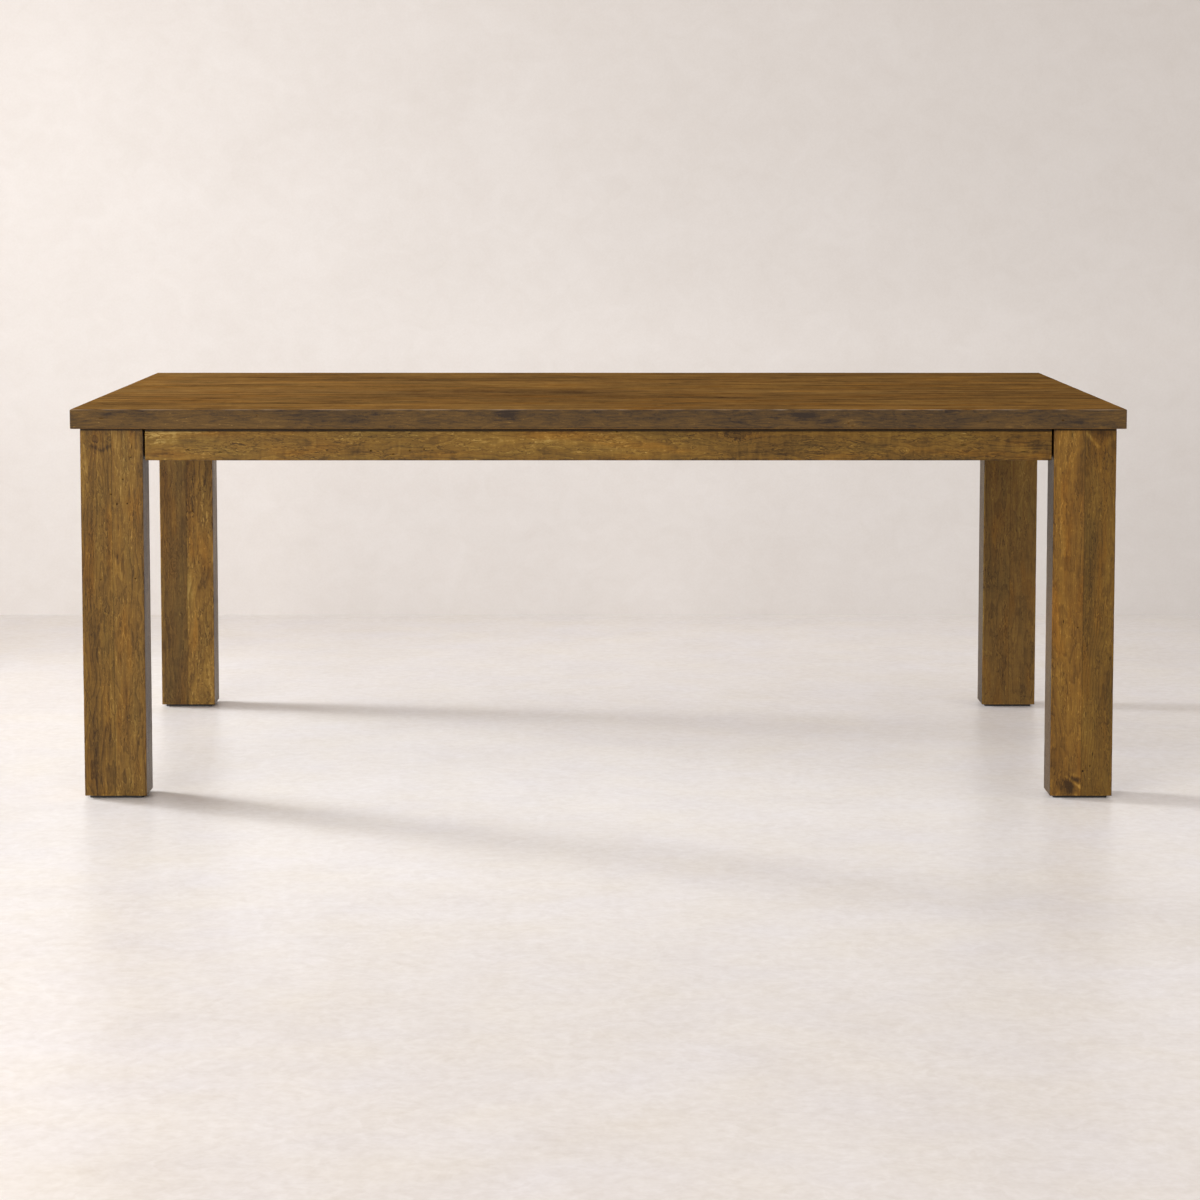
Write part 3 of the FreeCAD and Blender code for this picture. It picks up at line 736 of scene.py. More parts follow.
    def _edge_band(self, bench: Bench, board: Socket, stirred: Socket,
                   colour: Value, marks: BoardMarks) -> Socket:
        """Lays the greyer, cloudier stain on the upright faces round the top.

        Args:
            bench: The material's bench.
            board: The place in the tree.
            stirred: The same, with its fibres stirred.
            colour: The colour so far.
            marks: The board's marks.

        Returns:
            The colour with its band.
        """
        upright = bench.smooth(bench.maths("ABSOLUTE", self._rise(bench)), 0.70, 0.35)
        cloud = bench.noise(board, (210.0, 60.0, 60.0), 3.0, 0.5, 0.6)
        patch = bench.smooth(bench.noise(stirred, (52.0, 13.0, 13.0), 2.0, 0.5, 1.6), 0.10, 0.24)
        slant = bench.swirl(board, (130.0, 30.0, 30.0), (30.0, 11.0, 11.0))
        hair = bench.noise(slant, (34.0, 3.4, 3.4), 3.0, 0.65)
        crease = bench.noise(slant, (19.0, 5.0, 5.0), 1.5, 0.5, 1.0)
        line = bench.maths("SUBTRACT", 1.0, bench.smooth(bench.maths("ABSOLUTE", crease), 0.0, 0.07))
        spark = bench.smooth(bench.noise(board, (8.0, 2.2, 2.2), 1.0), 0.34, 0.54)
        edge_darkening = bench.smooth(bench.attribute("edge_wear_and_light"), 0.04, 0.30)
        tone = bench.total(0.52, (cloud, 0.46), (patch, -0.16), (hair, 0.60), (line, -0.20),
                           (spark, 0.34), (edge_darkening, -0.10), (marks.dark, -0.42), (marks.light, 0.42))
        band = bench.ramp(tone, [
            (0.0, (0.045, 0.033, 0.0255)), (0.25, (0.078, 0.051, 0.0285)), (0.5, self.stain.edge),
            (0.75, (0.146, 0.086, 0.033)), (1.0, (0.26, 0.160, 0.060)),
        ])
        return bench.mix(bench.times(upright, self.stain.edge_share), colour, band)


@dataclass
class BoardMarks:
    """What a board's natural marks do to its pattern.

    Attributes:
        swell: How far knots push the growth rings out, in rings.
        flow: How far knots push the fibres aside, in millimetres.
        core: How much knot core there is.
        dark: How much dark patch there is.
        light: How much light patch there is.
        hole: How much hole there is.
    """

    swell: Value = 0.0
    flow: object = (0.0, 0.0, 0.0)
    core: Value = 0.0
    dark: Value = 0.0
    light: Value = 0.0
    hole: Value = 0.0

    FLOW = 0.8
    SWELL = 4.5
    HEART_RINGS = 15.0
    HEAVY_SIDE = (-0.7, 0.0, -0.7)

    @classmethod
    def gather(cls, bench: Bench, place: Socket, features: Sequence[Feature]) -> BoardMarks:
        """Builds the nodes of a board's marks.

        Args:
            bench: The material's bench.
            place: The place on the table.
            features: The marks.

        Returns:
            What the marks do together.
        """
        made = cls()
        if not features:
            return made
        stir = bench.noise(place, (7.0, 7.0, 7.0), 3.0, 0.6)
        for mark in features:
            away = bench.vector("SUBTRACT", place, mark.centre)
            offset = bench.vector("DIVIDE", away, mark.reach)
            unevenness = 0.85 if mark.mark is KNOT else 0.40
            distance = bench.total(bench.vector("LENGTH", offset), (stir, unevenness))
            bell = bench.maths("EXPONENT", bench.times(bench.maths("MULTIPLY", distance, distance), -1.0))
            if mark.mark is KNOT:
                made._add_knot(bench, away, distance, bell, mark.strength)
            elif mark.mark is DARK:
                made.dark = bench.total(made.dark, (bell, mark.strength))
            elif mark.mark is LIGHT:
                made.light = bench.total(made.light, (bell, mark.strength))
            else:
                pit = bench.smooth(bench.maths("SUBTRACT", 1.0, distance), 0.0, 0.5)
                made.hole = bench.maths("MAXIMUM", made.hole, bench.times(pit, mark.strength))
        return made

    def _add_knot(self, bench: Bench, away: Value, distance: Value, bell: Value, strength: float) -> None:
        """Adds a knot: ringed, darker on one side, with a golden rim and fibres that flow round it.

        Args:
            bench: The material's bench.
            away: The way from the knot's centre, in millimetres.
            distance: The distance from the centre, in reaches.
            bell: A bell over the knot.
            strength: How strongly it shows.
        """
        push = bench.node("VectorMath", operation="SCALE")
        bench.feed(push.inputs[0], away)
        bench.feed(push.inputs["Scale"], bench.times(bell, self.FLOW))
        self.flow = bench.vector("ADD", self.flow, push.outputs[0])
        self.swell = bench.total(self.swell, (bell, self.SWELL * strength))
        heart = bench.smooth(bench.maths("SUBTRACT", 0.34, distance), 0.0, 0.22)
        inside = bench.smooth(bench.maths("SUBTRACT", 0.85, distance), 0.0, 0.30)
        rings = bench.times(inside, bench.maths("SINE", bench.times(distance, self.HEART_RINGS)))
        heavy = bench.smooth(bench.vector("DOT_PRODUCT", away, self.HEAVY_SIDE), -8.0, 8.0)
        outline = bench.times(self._hoop(bench, distance, 0.78, 0.14), bench.total(0.3, heavy))
        rim = self._hoop(bench, distance, 1.10, 0.20)
        self.core = bench.maths("MAXIMUM", self.core, bench.times(heart, 0.55 * strength))
        self.dark = bench.total(self.dark, (outline, 1.1 * strength),
                                (bell, 0.40 * strength), (rings, 0.45 * strength))
        self.light = bench.total(self.light, (rim, 0.40 * strength))

    @staticmethod
    def _hoop(bench: Bench, distance: Value, radius: float, width: float) -> Socket:
        """A hoop of one radius and width round a centre."""
        step = bench.maths("DIVIDE", bench.maths("SUBTRACT", distance, radius), width)
        return bench.maths("EXPONENT", bench.times(bench.times(step, step), -1.0))


# Boards


@dataclass
class Board:
    """A sawn, planed and sanded board, with eased corners and the marks of its making.

    Attributes:
        name: The piece's name, and that of the node that it stands for.
        low: Its lowest corner.
        high: Its highest corner.
        finish: Its look.
        slot: The record's material slot.
        eased: The radius on each of its six sides, in the order -X, +X, -Y, +Y, -Z, +Z; 0 where it is
            glued to a neighbour.
        spacing: The distance between mesh lines along X, Y and Z.
        extra_lines: More mesh lines along X, Y and Z.
        hollow: How deep the sanding leaves its faces, at most.
        shade_under_top: How far down the painted shade under the top's overhang reaches, or 0.
        glue: How strongly its glue lines show.
        carvings: Cuts that are made into it, in order.
    """

    name: str
    low: Vector
    high: Vector
    finish: BoardFinish
    slot: str
    eased: tuple[float, ...]
    spacing: Triple
    extra_lines: tuple[Sequence[float], ...] = ((), (), ())
    hollow: float = 0.00022
    shade_under_top: float = 0.0
    glue: float = 1.0
    carvings: list[Carving] = field(default_factory=list)

    ARC_STEPS = (0.0, 0.26795, 0.57735, 1.0)
    EDGE_WEAR_AND_LIGHT_WIDTH = 0.0055
    SEAM_LINES = (0.0004, 0.0012)
    SEAM_WIDTH = 0.0009
    SEAM_DEPTH = 0.00022
    LEAST_GAP = 0.00015
    NICK_WIDTH = 0.003
    NICK_DEPTH = 0.0009
    PIT_DEPTHS = {PIN: 0.0022, CHECK: 0.0012}
    PIT_REACH = 1.15
    # How strongly the painted shade under the top's overhang darkens.
    SHADE_UNDER_TOP_STRENGTH = 3.2

    def build(self) -> Piece:
        """Builds the board.

        Returns:
            The board's object, riding on the table.
        """
        lines = [self._lines(axis) for axis in range(3)]
        keys, faces = self._shell([len(line) for line in lines])
        flat = np.stack([lines[axis][keys[:, axis]] for axis in range(3)], axis=1)
        points, normals = self._round(flat)
        edge_wear_and_light, glue_and_shade = self._edge_wear_and_light(flat), self._glue_and_shade(flat)
        depth = self._wear(points) + self._pits(points) + glue_and_shade * self.SEAM_DEPTH
        points = points - normals * depth[:, None]
        for carve in self.carvings:
            points = carve(points)
        points = np.clip(points, np.array(self.low), np.array(self.high))
        return self._object(points, faces, edge_wear_and_light, glue_and_shade)

    def _lines(self, axis: int) -> np.ndarray:
        """The places of the mesh lines along one axis.

        Args:
            axis: 0, 1 or 2 for X, Y or Z.

        Returns:
            The sorted places.
        """
        low, high = self.low[axis], self.high[axis]
        count = max(2, round((high - low) / self.spacing[axis]))
        wanted = list(np.linspace(low, high, count + 1))
        at_low, at_high = self.eased[2 * axis:2 * axis + 2]
        for end, inward, radius in ((low, 1.0, at_low), (high, -1.0, at_high)):
            near = [radius * (1.0 - step) for step in self.ARC_STEPS] if radius else list(self.SEAM_LINES)
            near += [self.EDGE_WEAR_AND_LIGHT_WIDTH * share for share in (0.6, 1.0)]
            wanted += [end + inward * distance for distance in near]
        for mark in self.finish.features:
            if mark.mark in self.PIT_DEPTHS:
                centre, reach = mark.centre[axis] * MM, mark.reach[axis] * MM
                near = [centre + reach * share for share in (-1.3, -0.8, -0.4, 0.0, 0.4, 0.8, 1.3)]
                wanted += [place for place in near if low < place < high]
        kept = sorted({low, high, *self.extra_lines[axis]})
        for place in sorted(wanted):
            if all(abs(place - other) > self.LEAST_GAP for other in kept):
                kept.append(place)
        return np.array(sorted(kept))

    @staticmethod
    def _shell(counts: Sequence[int]) -> tuple[np.ndarray, np.ndarray]:
        """The vertices and faces of a box's skin on a lattice.

        Args:
            counts: How many lines the lattice has along each axis.

        Returns:
            Each vertex's three line numbers, and each face's four vertices.
        """
        quads = []
        for axis in range(3):
            first, second = (axis + 1) % 3, (axis + 2) % 3
            rows, columns = np.meshgrid(np.arange(counts[first] - 1), np.arange(counts[second] - 1),
                                        indexing="ij")
            rows, columns = rows.ravel(), columns.ravel()
            for side in (0, counts[axis] - 1):
                corners = []
                for step_row, step_column in ((0, 0), (1, 0), (1, 1), (0, 1)):
                    key = np.empty((len(rows), 3), int)
                    key[:, axis] = side
                    key[:, first] = rows + step_row
                    key[:, second] = columns + step_column
                    corners.append(key)
                quads.append(np.stack(corners if side else corners[::-1], axis=1))
        every = np.concatenate(quads).reshape(-1, 3)
        codes = (every[:, 0] * counts[1] + every[:, 1]) * counts[2] + every[:, 2]
        _, first_seen, number = np.unique(codes, return_index=True, return_inverse=True)
        return every[first_seen], number.reshape(-1, 4)

    def _round(self, flat: np.ndarray) -> tuple[np.ndarray, np.ndarray]:
        """Rolls the box's skin onto its eased edges and corners.

        Args:
            flat: The points on the sharp box.

        Returns:
            The points on the eased box, and their outward directions.
        """
        low, high, before, after = self._limits()
        inner = np.clip(flat, low + before, high - after)
        offset = flat - inner
        reach = np.where(offset < 0, before, after)
        share = np.divide(offset, reach, out=np.zeros_like(offset), where=reach > 0)
        glued = (reach == 0) & ((flat == low) | (flat == high))
        direction = share.copy()
        flat_only = np.abs(share).max(axis=1) < 1e-9
        direction[glued & flat_only[:, None]] = 1.0
        direction = np.where(glued & (flat == low), -np.abs(direction), direction)
        length = np.linalg.norm(share, axis=1, keepdims=True)
        rolled = np.divide(share, length, out=np.zeros_like(share), where=length > 0)
        points = inner + rolled * reach
        size = np.linalg.norm(direction, axis=1, keepdims=True)
        return points, np.divide(direction, size, out=np.zeros_like(direction), where=size > 0)

    def _limits(self) -> tuple[np.ndarray, ...]:
        """Its lowest and highest corner, and the radii of its low and of its high sides."""
        return tuple(np.array(part) for part in (self.low, self.high, self.eased[0::2], self.eased[1::2]))

    def _edge_distance(self, flat: np.ndarray) -> np.ndarray:
        """How far each point lies from the nearest eased edge."""
        low, high, before, after = self._limits()
        far = 1.0
        to_low = np.where(before > 0, flat - low, far)
        to_high = np.where(after > 0, high - flat, far)
        return np.sort(np.minimum(to_low, to_high), axis=1)[:, 1]

    def _edge_wear_and_light(self, flat: np.ndarray) -> np.ndarray:
        """How much hands and the sander have rubbed the stain from the edges; the same mask also places the
        painted highlight along them.
        """
        near = np.clip(1.0 - self._edge_distance(flat) / self.EDGE_WEAR_AND_LIGHT_WIDTH, 0.0, 1.0)
        patchy = 0.75 + 0.25 * ripple(flat, self.finish.seed + 5, (0.03, 0.30))
        return near ** 1.6 * patchy

    def _glue_and_shade(self, flat: np.ndarray) -> np.ndarray:
        """How close each point lies to a glued joint, with the painted shade under the top's overhang
        added.
        """
        low, high, before, after = self._limits()
        to_low = np.where(before > 0, 1.0, flat - low)
        to_high = np.where(after > 0, 1.0, high - flat)
        nearest = np.minimum(to_low, to_high).min(axis=1)
        glued = self.glue * np.clip(1.0 - nearest / self.SEAM_WIDTH, 0.0, 1.0)
        if not self.shade_under_top:
            return glued
        # Painted shade: the band just under the top is darkened as if the top's overhang shaded it.
        shade_band = self.SHADE_UNDER_TOP_STRENGTH * (1.0 - (high[2] - flat[:, 2]) / self.shade_under_top)
        return np.maximum(glued, np.clip(shade_band, 0.0, 1.0))

    def _wear(self, points: np.ndarray) -> np.ndarray:
        """How deep sanding and use have left the skin."""
        wave = 0.5 + 0.5 * ripple(points, self.finish.seed, (0.05, 0.45))
        edge = np.clip(1.0 - self._edge_distance(points) / self.NICK_WIDTH, 0.0, 1.0)
        nick = np.clip(ripple(points, self.finish.seed + 9, (0.012, 0.09)) - 0.35, 0.0, 1.0)
        return self.hollow * wave + edge * nick * self.NICK_DEPTH

    def _pits(self, points: np.ndarray) -> np.ndarray:
        """How deep pin holes and drying checks go."""
        depth = np.zeros(len(points))
        for mark in self.finish.features:
            if mark.mark not in self.PIT_DEPTHS:
                continue
            offset = (points - np.array(mark.centre) * MM) / (np.array(mark.reach) * MM)
            inside = np.clip(self.PIT_REACH - np.linalg.norm(offset, axis=1), 0.0, 1.0)
            depth = np.maximum(depth, self.PIT_DEPTHS[mark.mark] * inside ** 0.8)
        return depth

    def _object(self, points: np.ndarray, faces: np.ndarray, edge_wear_and_light: np.ndarray, glue_and_shade: np.ndarray) -> Piece:
        """Makes the object from its arrays.

        Args:
            points: The vertices.
            faces: The quads.
            edge_wear_and_light: The edge mask at each vertex, for rubbed wear and painted edge highlight.
            glue_and_shade: The glued joint and the painted shade under the top at each vertex.

        Returns:
            The object.
        """
        mesh = bpy.data.meshes.new(self.name + "_dressed")
        mesh.from_pydata(points.tolist(), [], faces.tolist())
        for label, values in (("edge_wear_and_light", edge_wear_and_light), ("glue_and_shade", glue_and_shade)):
            layer = mesh.attributes.new(label, "FLOAT", "POINT")
            layer.data.foreach_set("value", values.astype(np.float32))
        work = bmesh.new()
        work.from_mesh(mesh)
        bmesh.ops.dissolve_degenerate(work, edges=work.edges, dist=1e-6)
        work.to_mesh(mesh)
        work.free()
        shade_smooth(mesh)
        return stand_in(mesh, self.name, self.finish.material(self.name), self.slot)


def ripple(points: np.ndarray, seed: int, lengths: tuple[float, float], waves: int = 9) -> np.ndarray:
    """Smooth waves from -1 to 1 that run in all directions.

    Args:
        points: Where to read them.
        seed: Which waves.
        lengths: The shortest and longest wavelength.
        waves: How many waves are added.

    Returns:
        The height at each point.
    """
    luck = np.random.default_rng(seed)
    total = np.zeros(len(points))
    for _ in range(waves):
        direction = luck.normal(size=3)
        direction /= np.linalg.norm(direction)
        length = math.exp(luck.uniform(math.log(lengths[0]), math.log(lengths[1])))
        total += np.cos(points @ direction * (math.tau / length) + luck.uniform(0.0, math.tau))
    return np.clip(total / (0.55 * waves), -1.0, 1.0)


def shade_smooth(mesh: bpy.types.Mesh, sharp_degrees: float = 40.0) -> None:
    """Shades a mesh smoothly, with creases kept.

    Args:
        mesh: The mesh.
        sharp_degrees: The least angle of a crease.
    """
    mesh.polygons.foreach_set("use_smooth", [True] * len(mesh.polygons))
    mesh.set_sharp_from_angle(angle=math.radians(sharp_degrees))
    mesh.update()


def add(name: str, data: Union[bpy.types.ID, None]) -> Piece:
    """Makes an object of its data and links it to the scene."""
    made = bpy.data.objects.new(name, data)
    bpy.context.scene.collection.objects.link(made)
    return made


def stand_in(mesh: bpy.types.Mesh, node: str, finish: Material, slot: str) -> Piece:
    """Makes a piece that rides on the table in a node's stead.

    Args:
        mesh: Its mesh, whose name it takes.
        node: The node that it stands for.
        finish: Its material.
        slot: The record's material slot; not used.

    Returns:
        The piece.
    """
    made = add(mesh.name, mesh)
    mesh.materials.append(finish)
    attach(made, BODY)
    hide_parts(node)
    return made


def middle_of(node: str) -> Triple:
    """A node's middle, in millimetres."""
    low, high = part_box(node)
    return tuple((low + high) / 2 * METRE)


# Sub-assemblies


@dataclass
class Tabletop:
    """The eight edge-glued boards of the top."""

    edge_radius: float = 0.002
    spacing: Triple = (0.018, 0.0085, 0.0095)
    count: int = 8

    TINTS = (
        (1.03, 1.02, 1.00), (1.00, 0.99, 0.96), (0.93, 0.92, 0.92), (1.02, 1.03, 1.04),
        (0.98, 0.97, 0.93), (1.04, 1.04, 1.02), (0.95, 0.95, 0.94), (1.00, 1.01, 1.00),
    )

    FRONT, FACE = -508.0, 762.0
    MARKS = {
        1: face_marks(
            FRONT,
            (DARK, -940, 752, 24, 6, 0.95),
            (DARK, -872, 755, 30, 7, 0.55),
            (CHECK, -955, 745, 7, 0.9, 0.8),
            (PIN, -656, 750, 2.1, 2.1, 1.0),
            (LIGHT, -612, 740, 26, 1.6, 0.55),
            (DARK, -455, 745, 34, 12, 0.5),
            (DARK, -174, 752, 17, 12, 1.3),
            (LIGHT, -176, 737, 12, 2, 0.5),
            (DARK, -80, 752, 11, 11, 0.6),
            (LIGHT, 42, 754, 4, 3, 0.9),
            (DARK, 396, 750, 26, 6, 1.6),
            (DARK, 440, 739, 30, 5, 1.0),
            (LIGHT, 486, 736, 16, 9, 0.8),
            (PIN, 481, 735, 2.4, 1.8, 1.0),
            (CHECK, 489, 730, 5, 0.9, 0.8),
            (DARK, 700, 741, 34, 9, 0.5),
            (CHECK, 748, 738, 4, 0.9, 0.8),
            (PIN, 893, 741, 2.4, 1.2, 0.8),
            (DARK, 925, 740, 16, 8, 0.85),
            (LIGHT, 967, 728, 5, 2, 0.8),
            (DARK, -170, 754, 430, 14, 0.3),
            (DARK, 560, 752, 470, 20, 0.26),
            (LIGHT, -760, 726, 260, 12, 0.16),
        ),
        3: (
            Feature(DARK, (-30, -190, FACE), (330, 60, 12), 0.55),
            Feature(PIN, (610, -215, FACE), (2.0, 2.0, 3.0), 0.9),
        ),
        4: (
            Feature(DARK, (-20, -80, FACE), (210, 75, 12), 0.7),
            Feature(DARK, (840, -60, FACE), (190, 18, 12), 0.7),
        ),
        5: (
            Feature(LIGHT, (-60, 80, FACE), (260, 70, 12), 0.45),
            Feature(KNOT, (-480, 92, FACE), (26, 15, 20), 0.8),
            Feature(PIN, (190, 70, FACE), (2.2, 2.2, 3.0), 0.9),
        ),
        7: (
            Feature(DARK, (-290, 260, FACE), (250, 50, 12), 0.6),
            Feature(KNOT, (520, 270, FACE), (22, 13, 20), 0.7),
        ),
    }

    def build(self) -> Iterable[Piece]:
        """Builds the boards, from the front to the back.

        Returns:
            The boards' objects.
        """
        for number in range(1, self.count + 1):
            node = f"top_board_{number}"
            low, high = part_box(node)
            luck = np.random.default_rng(40 + number)
            finish = BoardFinish(
                TOP_STAIN, Grain.ALONG_X, seed=100 + number, middle=middle_of(node),
                pith=(luck.uniform(-60, 60), luck.uniform(-150, -60)),
                ring=luck.uniform(5.5, 8.5), tint=self.TINTS[number - 1],
                figure=Figure(cloud=0.46, band=0.46, band_width=34.0, blotch=0.34, streak=0.36, fibre=0.10,
                              squiggle=0.13, dash=0.13, fleck=0.12, ring=0.15, curl=0.12),
                features=self.MARKS.get(number, ()), painted_arris_highlight=True,
            )
            radius = self.edge_radius
            front = radius if number == 1 else 0.0
            back = radius if number == self.count else 0.0
            yield Board(node, low, high, finish, "top_wood",
                        (radius, radius, front, back, radius, radius), self.spacing).build()


@dataclass
class Legs:
    """Four legs, each of two boards glued side by side, with a seat cut for the corner block."""

    nodes: dict[str, Piece]
    edge_radius: float = 0.0015
    spacing: Triple = (0.0075, 0.0085, 0.012)
    seat_step: float = 0.00005

    # Painted light on the legs' inner sides: a grey reflection on the left legs and shade on the right
    # legs.
    SIDE_REFLECTION_AND_SHADE = {-1: (0.92, 1.26, 3.8), 1: (0.228, 0.25, 0.42)}

    SOFT = Figure(cloud=0.62, streak=0.47, squiggle=0.27, dash=0.12, fleck=0.29)
    GOLDEN = Figure(cloud=0.62, band=0.20, streak=0.29, squiggle=0.27, dash=0.15, fleck=0.27, ring=0.14)
    PLAIN = Figure(cloud=0.56, band=0.22, streak=0.32, fleck=0.26, ring=0.15)
    CALM = Figure(cloud=0.46, band=0.15, blotch=0.08, streak=0.19, squiggle=0.25, ring=0.13)
    CURLY = Figure(cloud=0.85, band=0.25, streak=0.24, squiggle=0.42, dash=0.34, fleck=0.34, ring=0.20)

    BOARDS = {
        "front_left_outer": (SOFT, (0.79, 0.78, 0.83)),
        "front_left_inner": (SOFT, (0.84, 0.84, 0.94)),
        "front_right_outer": (CALM, (0.76, 0.75, 0.75)),
        "front_right_inner": (GOLDEN, (0.99, 0.92, 0.88)),
        "back_left_outer": (PLAIN, (0.78, 0.80, 1.02)),
        "back_left_inner": (CURLY, (1.07, 1.08, 1.22)),
        "back_right_outer": (CALM, (0.875, 0.905, 1.14)),
        "back_right_inner": (CALM, (0.86, 0.89, 1.12)),
    }

    FRONT, BACK = -492.0, 422.0
    MARKS = {
        "front_left_outer": face_marks(
            FRONT,
            (DARK, -999, 360, 2.0, 5000, 0.55),
            (KNOT, -970, 703, 7, 8, 0.9),
            (KNOT, -942, 705, 6, 6, 0.85),
            *trail(DARK, (-979, 690), (-960, 681), 3.6, 0.55),
            *trail(DARK, (-957, 681), (-942, 690), 3.6, 0.6),
            (LIGHT, -993, 640, 4, 70, 0.5),
            (LIGHT, -970, 540, 60, 200, 0.28),
            (DARK, -970, 150, 60, 110, 0.26),
            (PIN, -941, 596, 1.6, 1.6, 0.9),
            (PIN, -963, 430, 1.4, 1.4, 0.8),
            (DARK, -975, 300, 9, 60, 0.5),
            (DARK, -972, 605, 13, 75, 0.4),
            (DARK, -974, 55, 22, 60, 0.45),
            (KNOT, -950, 372, 8, 9, 0.45),
        ),
        "front_left_inner": face_marks(
            FRONT,
            (DARK, -881, 360, 2.0, 5000, 0.55),
            (PIN, -918, 625, 1.7, 1.7, 1.0),
            (PIN, -930, 577, 1.8, 2.0, 0.9),
            (PIN, -910, 578, 1.5, 1.6, 0.8),
            (CHECK, -900, 688, 0.9, 6.0, 0.8),
            (CHECK, -902, 668, 3.0, 1.2, 0.8),
            (PIN, -896, 432, 1.9, 1.9, 1.0),
            (CHECK, -931, 475, 0.9, 6.0, 0.8),
            (LIGHT, -903, 520, 5, 60, 0.5),
            (LIGHT, -910, 680, 60, 90, 0.8),
            (LIGHT, -905, 120, 9, 80, 0.45),
            (DARK, -900, 385, 7, 12, 0.6),
        ),
        "front_right_outer": face_marks(
            FRONT,
            *trail(LIGHT, (941, 717), (965, 688), 4.4, 0.95),
            *trail(LIGHT, (996, 708), (978, 692), 7.0, 0.4),
            (DARK, 999, 360, 2.0, 5000, 0.55),
            (DARK, 970, 716, 9, 8, 0.9),
            (DARK, 970, 690, 60, 60, 0.6),
            (PIN, 943, 54, 2.4, 2.8, 1.0),
            (CHECK, 993, 276, 1.2, 5.0, 1.0),
            (PIN, 948, 300, 1.6, 1.6, 0.9),
            (DARK, 965, 470, 14, 50, 0.5),
            (PIN, 957, 64, 1.5, 2.2, 0.9),
            (CHECK, 962, 88, 1.0, 5.0, 0.8),
        ),
        "front_right_inner": face_marks(
            FRONT,
            (DARK, 881, 360, 2.0, 5000, 0.55),
            *trail(LIGHT, (911, 43), (941, 20), 3.1, 0.95),
            *trail(LIGHT, (918, 48), (942, 42), 3.2, 0.5),
            (DARK, 916, 23, 12, 19, 1.9),
            (DARK, 931, 37, 9, 6, 1.5),
            (DARK, 912, 40, 45, 60, 0.5),
            (LIGHT, 930, 9, 4, 5, 0.8),
            (LIGHT, 910, 560, 60, 110, 0.38),
            (CHECK, 914, 712, 1.2, 7.0, 0.7),
            (PIN, 930, 336, 1.6, 1.8, 0.9),
            (CHECK, 902, 348, 1.0, 5.0, 0.8),
            (CHECK, 904, 246, 1.0, 5.0, 0.8),
            (LIGHT, 898, 470, 6, 100, 0.5),
        ),
        "back_left_inner": face_marks(
            BACK,
            (KNOT, -905, 26, 14, 24, 0.4),
            (DARK, -909, 610, 70, 220, 0.9),
            (LIGHT, -909, 225, 70, 140, 0.95),
            (PIN, -925, 452, 1.8, 1.8, 0.9),
            (PIN, -907, 500, 1.7, 1.7, 0.9),
        ),
        "back_left_outer": face_marks(
            BACK,
            (KNOT, -968, 325, 9, 17, 0.5),
            (DARK, -962, 260, 16, 60, 0.15),
            (LIGHT, -966, 240, 60, 80, 0.36),
        ),
        "back_right_inner": face_marks(
            BACK,
            (LIGHT, 897, 520, 5, 90, 0.5),
            (PIN, 890, 118, 1.8, 2.0, 0.9),
        ),
        "back_right_outer": face_marks(
            BACK,
            (LIGHT, 969, 620, 60, 140, 0.85),
            (DARK, 969, 290, 60, 130, 0.3),
        ),
    }

    def build(self) -> Iterable[Piece]:
        """Builds the legs' boards.

        Returns:
            The boards' objects.
        """
        seed = 200
        for name, side_x, side_y in (("front_left", -1, -1), ("front_right", 1, -1),
                                     ("back_left", -1, 1), ("back_right", 1, 1)):
            for which in ("outer", "inner"):
                seed += 1
                yield self._board(f"{name}_{which}", side_x, side_y, which, seed)

    def _board(self, key: str, side_x: int, side_y: int, which: str, seed: int) -> Piece:
        """Builds one board of a leg.

        Args:
            key: The board's key in the tables.
            side_x: Which way the leg lies along X.
            side_y: Which way the leg lies along Y.
            which: The outer or the inner board.
            seed: The board's place in the tree.

        Returns:
            The board's object.
        """
        node = f"leg_{key}_board"
        low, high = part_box(node)
        figure, tint = self.BOARDS[key]
        radius = self.edge_radius
        glued_high = (which == "outer") == (side_x < 0)
        eased_x = (radius, 0.0) if glued_high else (0.0, radius)
        luck = np.random.default_rng(seed)
        finish = BoardFinish(
            LEG_STAIN, Grain.ALONG_Z, seed=seed, middle=middle_of(node),
            pith=(luck.uniform(-45, 45), luck.uniform(60, 130) * side_y),
            ring=luck.uniform(4.5, 7.0), tint=tint, figure=figure, features=self.MARKS.get(key, ()),
            side=self.SIDE_REFLECTION_AND_SHADE[side_x] if which == "inner" else PLAIN_TINT,
        )
        carvings = []
        lines: tuple[Sequence[float], ...] = ((), (), ())
        if which == "inner":
            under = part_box("apron_front")[0].z
            lines = ((), (), (under - self.seat_step, under + self.seat_step))
            carvings = [self._seat(node, side_x, side_y, under)]
        # The board gets a 5 mm band of painted shade under the top.
        return Board(node, low, high, finish, "leg_wood",
                     (*eased_x, radius, radius, radius, radius), self.spacing, lines,
                     shade_under_top=0.005, glue=0.55, carvings=carvings).build()

    def _seat(self, node: str, side_x: int, side_y: int, under: float) -> Carving:
        """The slanted seat that the corner block's face is drawn against.

        Args:
            node: The board's node.
            side_x: Which way the leg lies along X.
            side_y: Which way the leg lies along Y.
            under: The height where the seat starts.

        Returns:
            The cut.
        """
        places = np.array([vertex.co for vertex in self.nodes[node].data.vertices])
        upper = places[places[:, 2] > under + 0.01]
        limit = float((upper[:, 0] * -side_x + upper[:, 1] * -side_y).max())

        def cut(points: np.ndarray) -> np.ndarray:
            """Moves what lies past the seat's plane onto it."""
            past = points[:, 0] * -side_x + points[:, 1] * -side_y - limit
            past = np.where(points[:, 2] > under, np.clip(past, 0.0, None), 0.0)
            moved = points.copy()
            moved[:, 0] += side_x * past / 2
            moved[:, 1] += side_y * past / 2
            return moved

        return cut


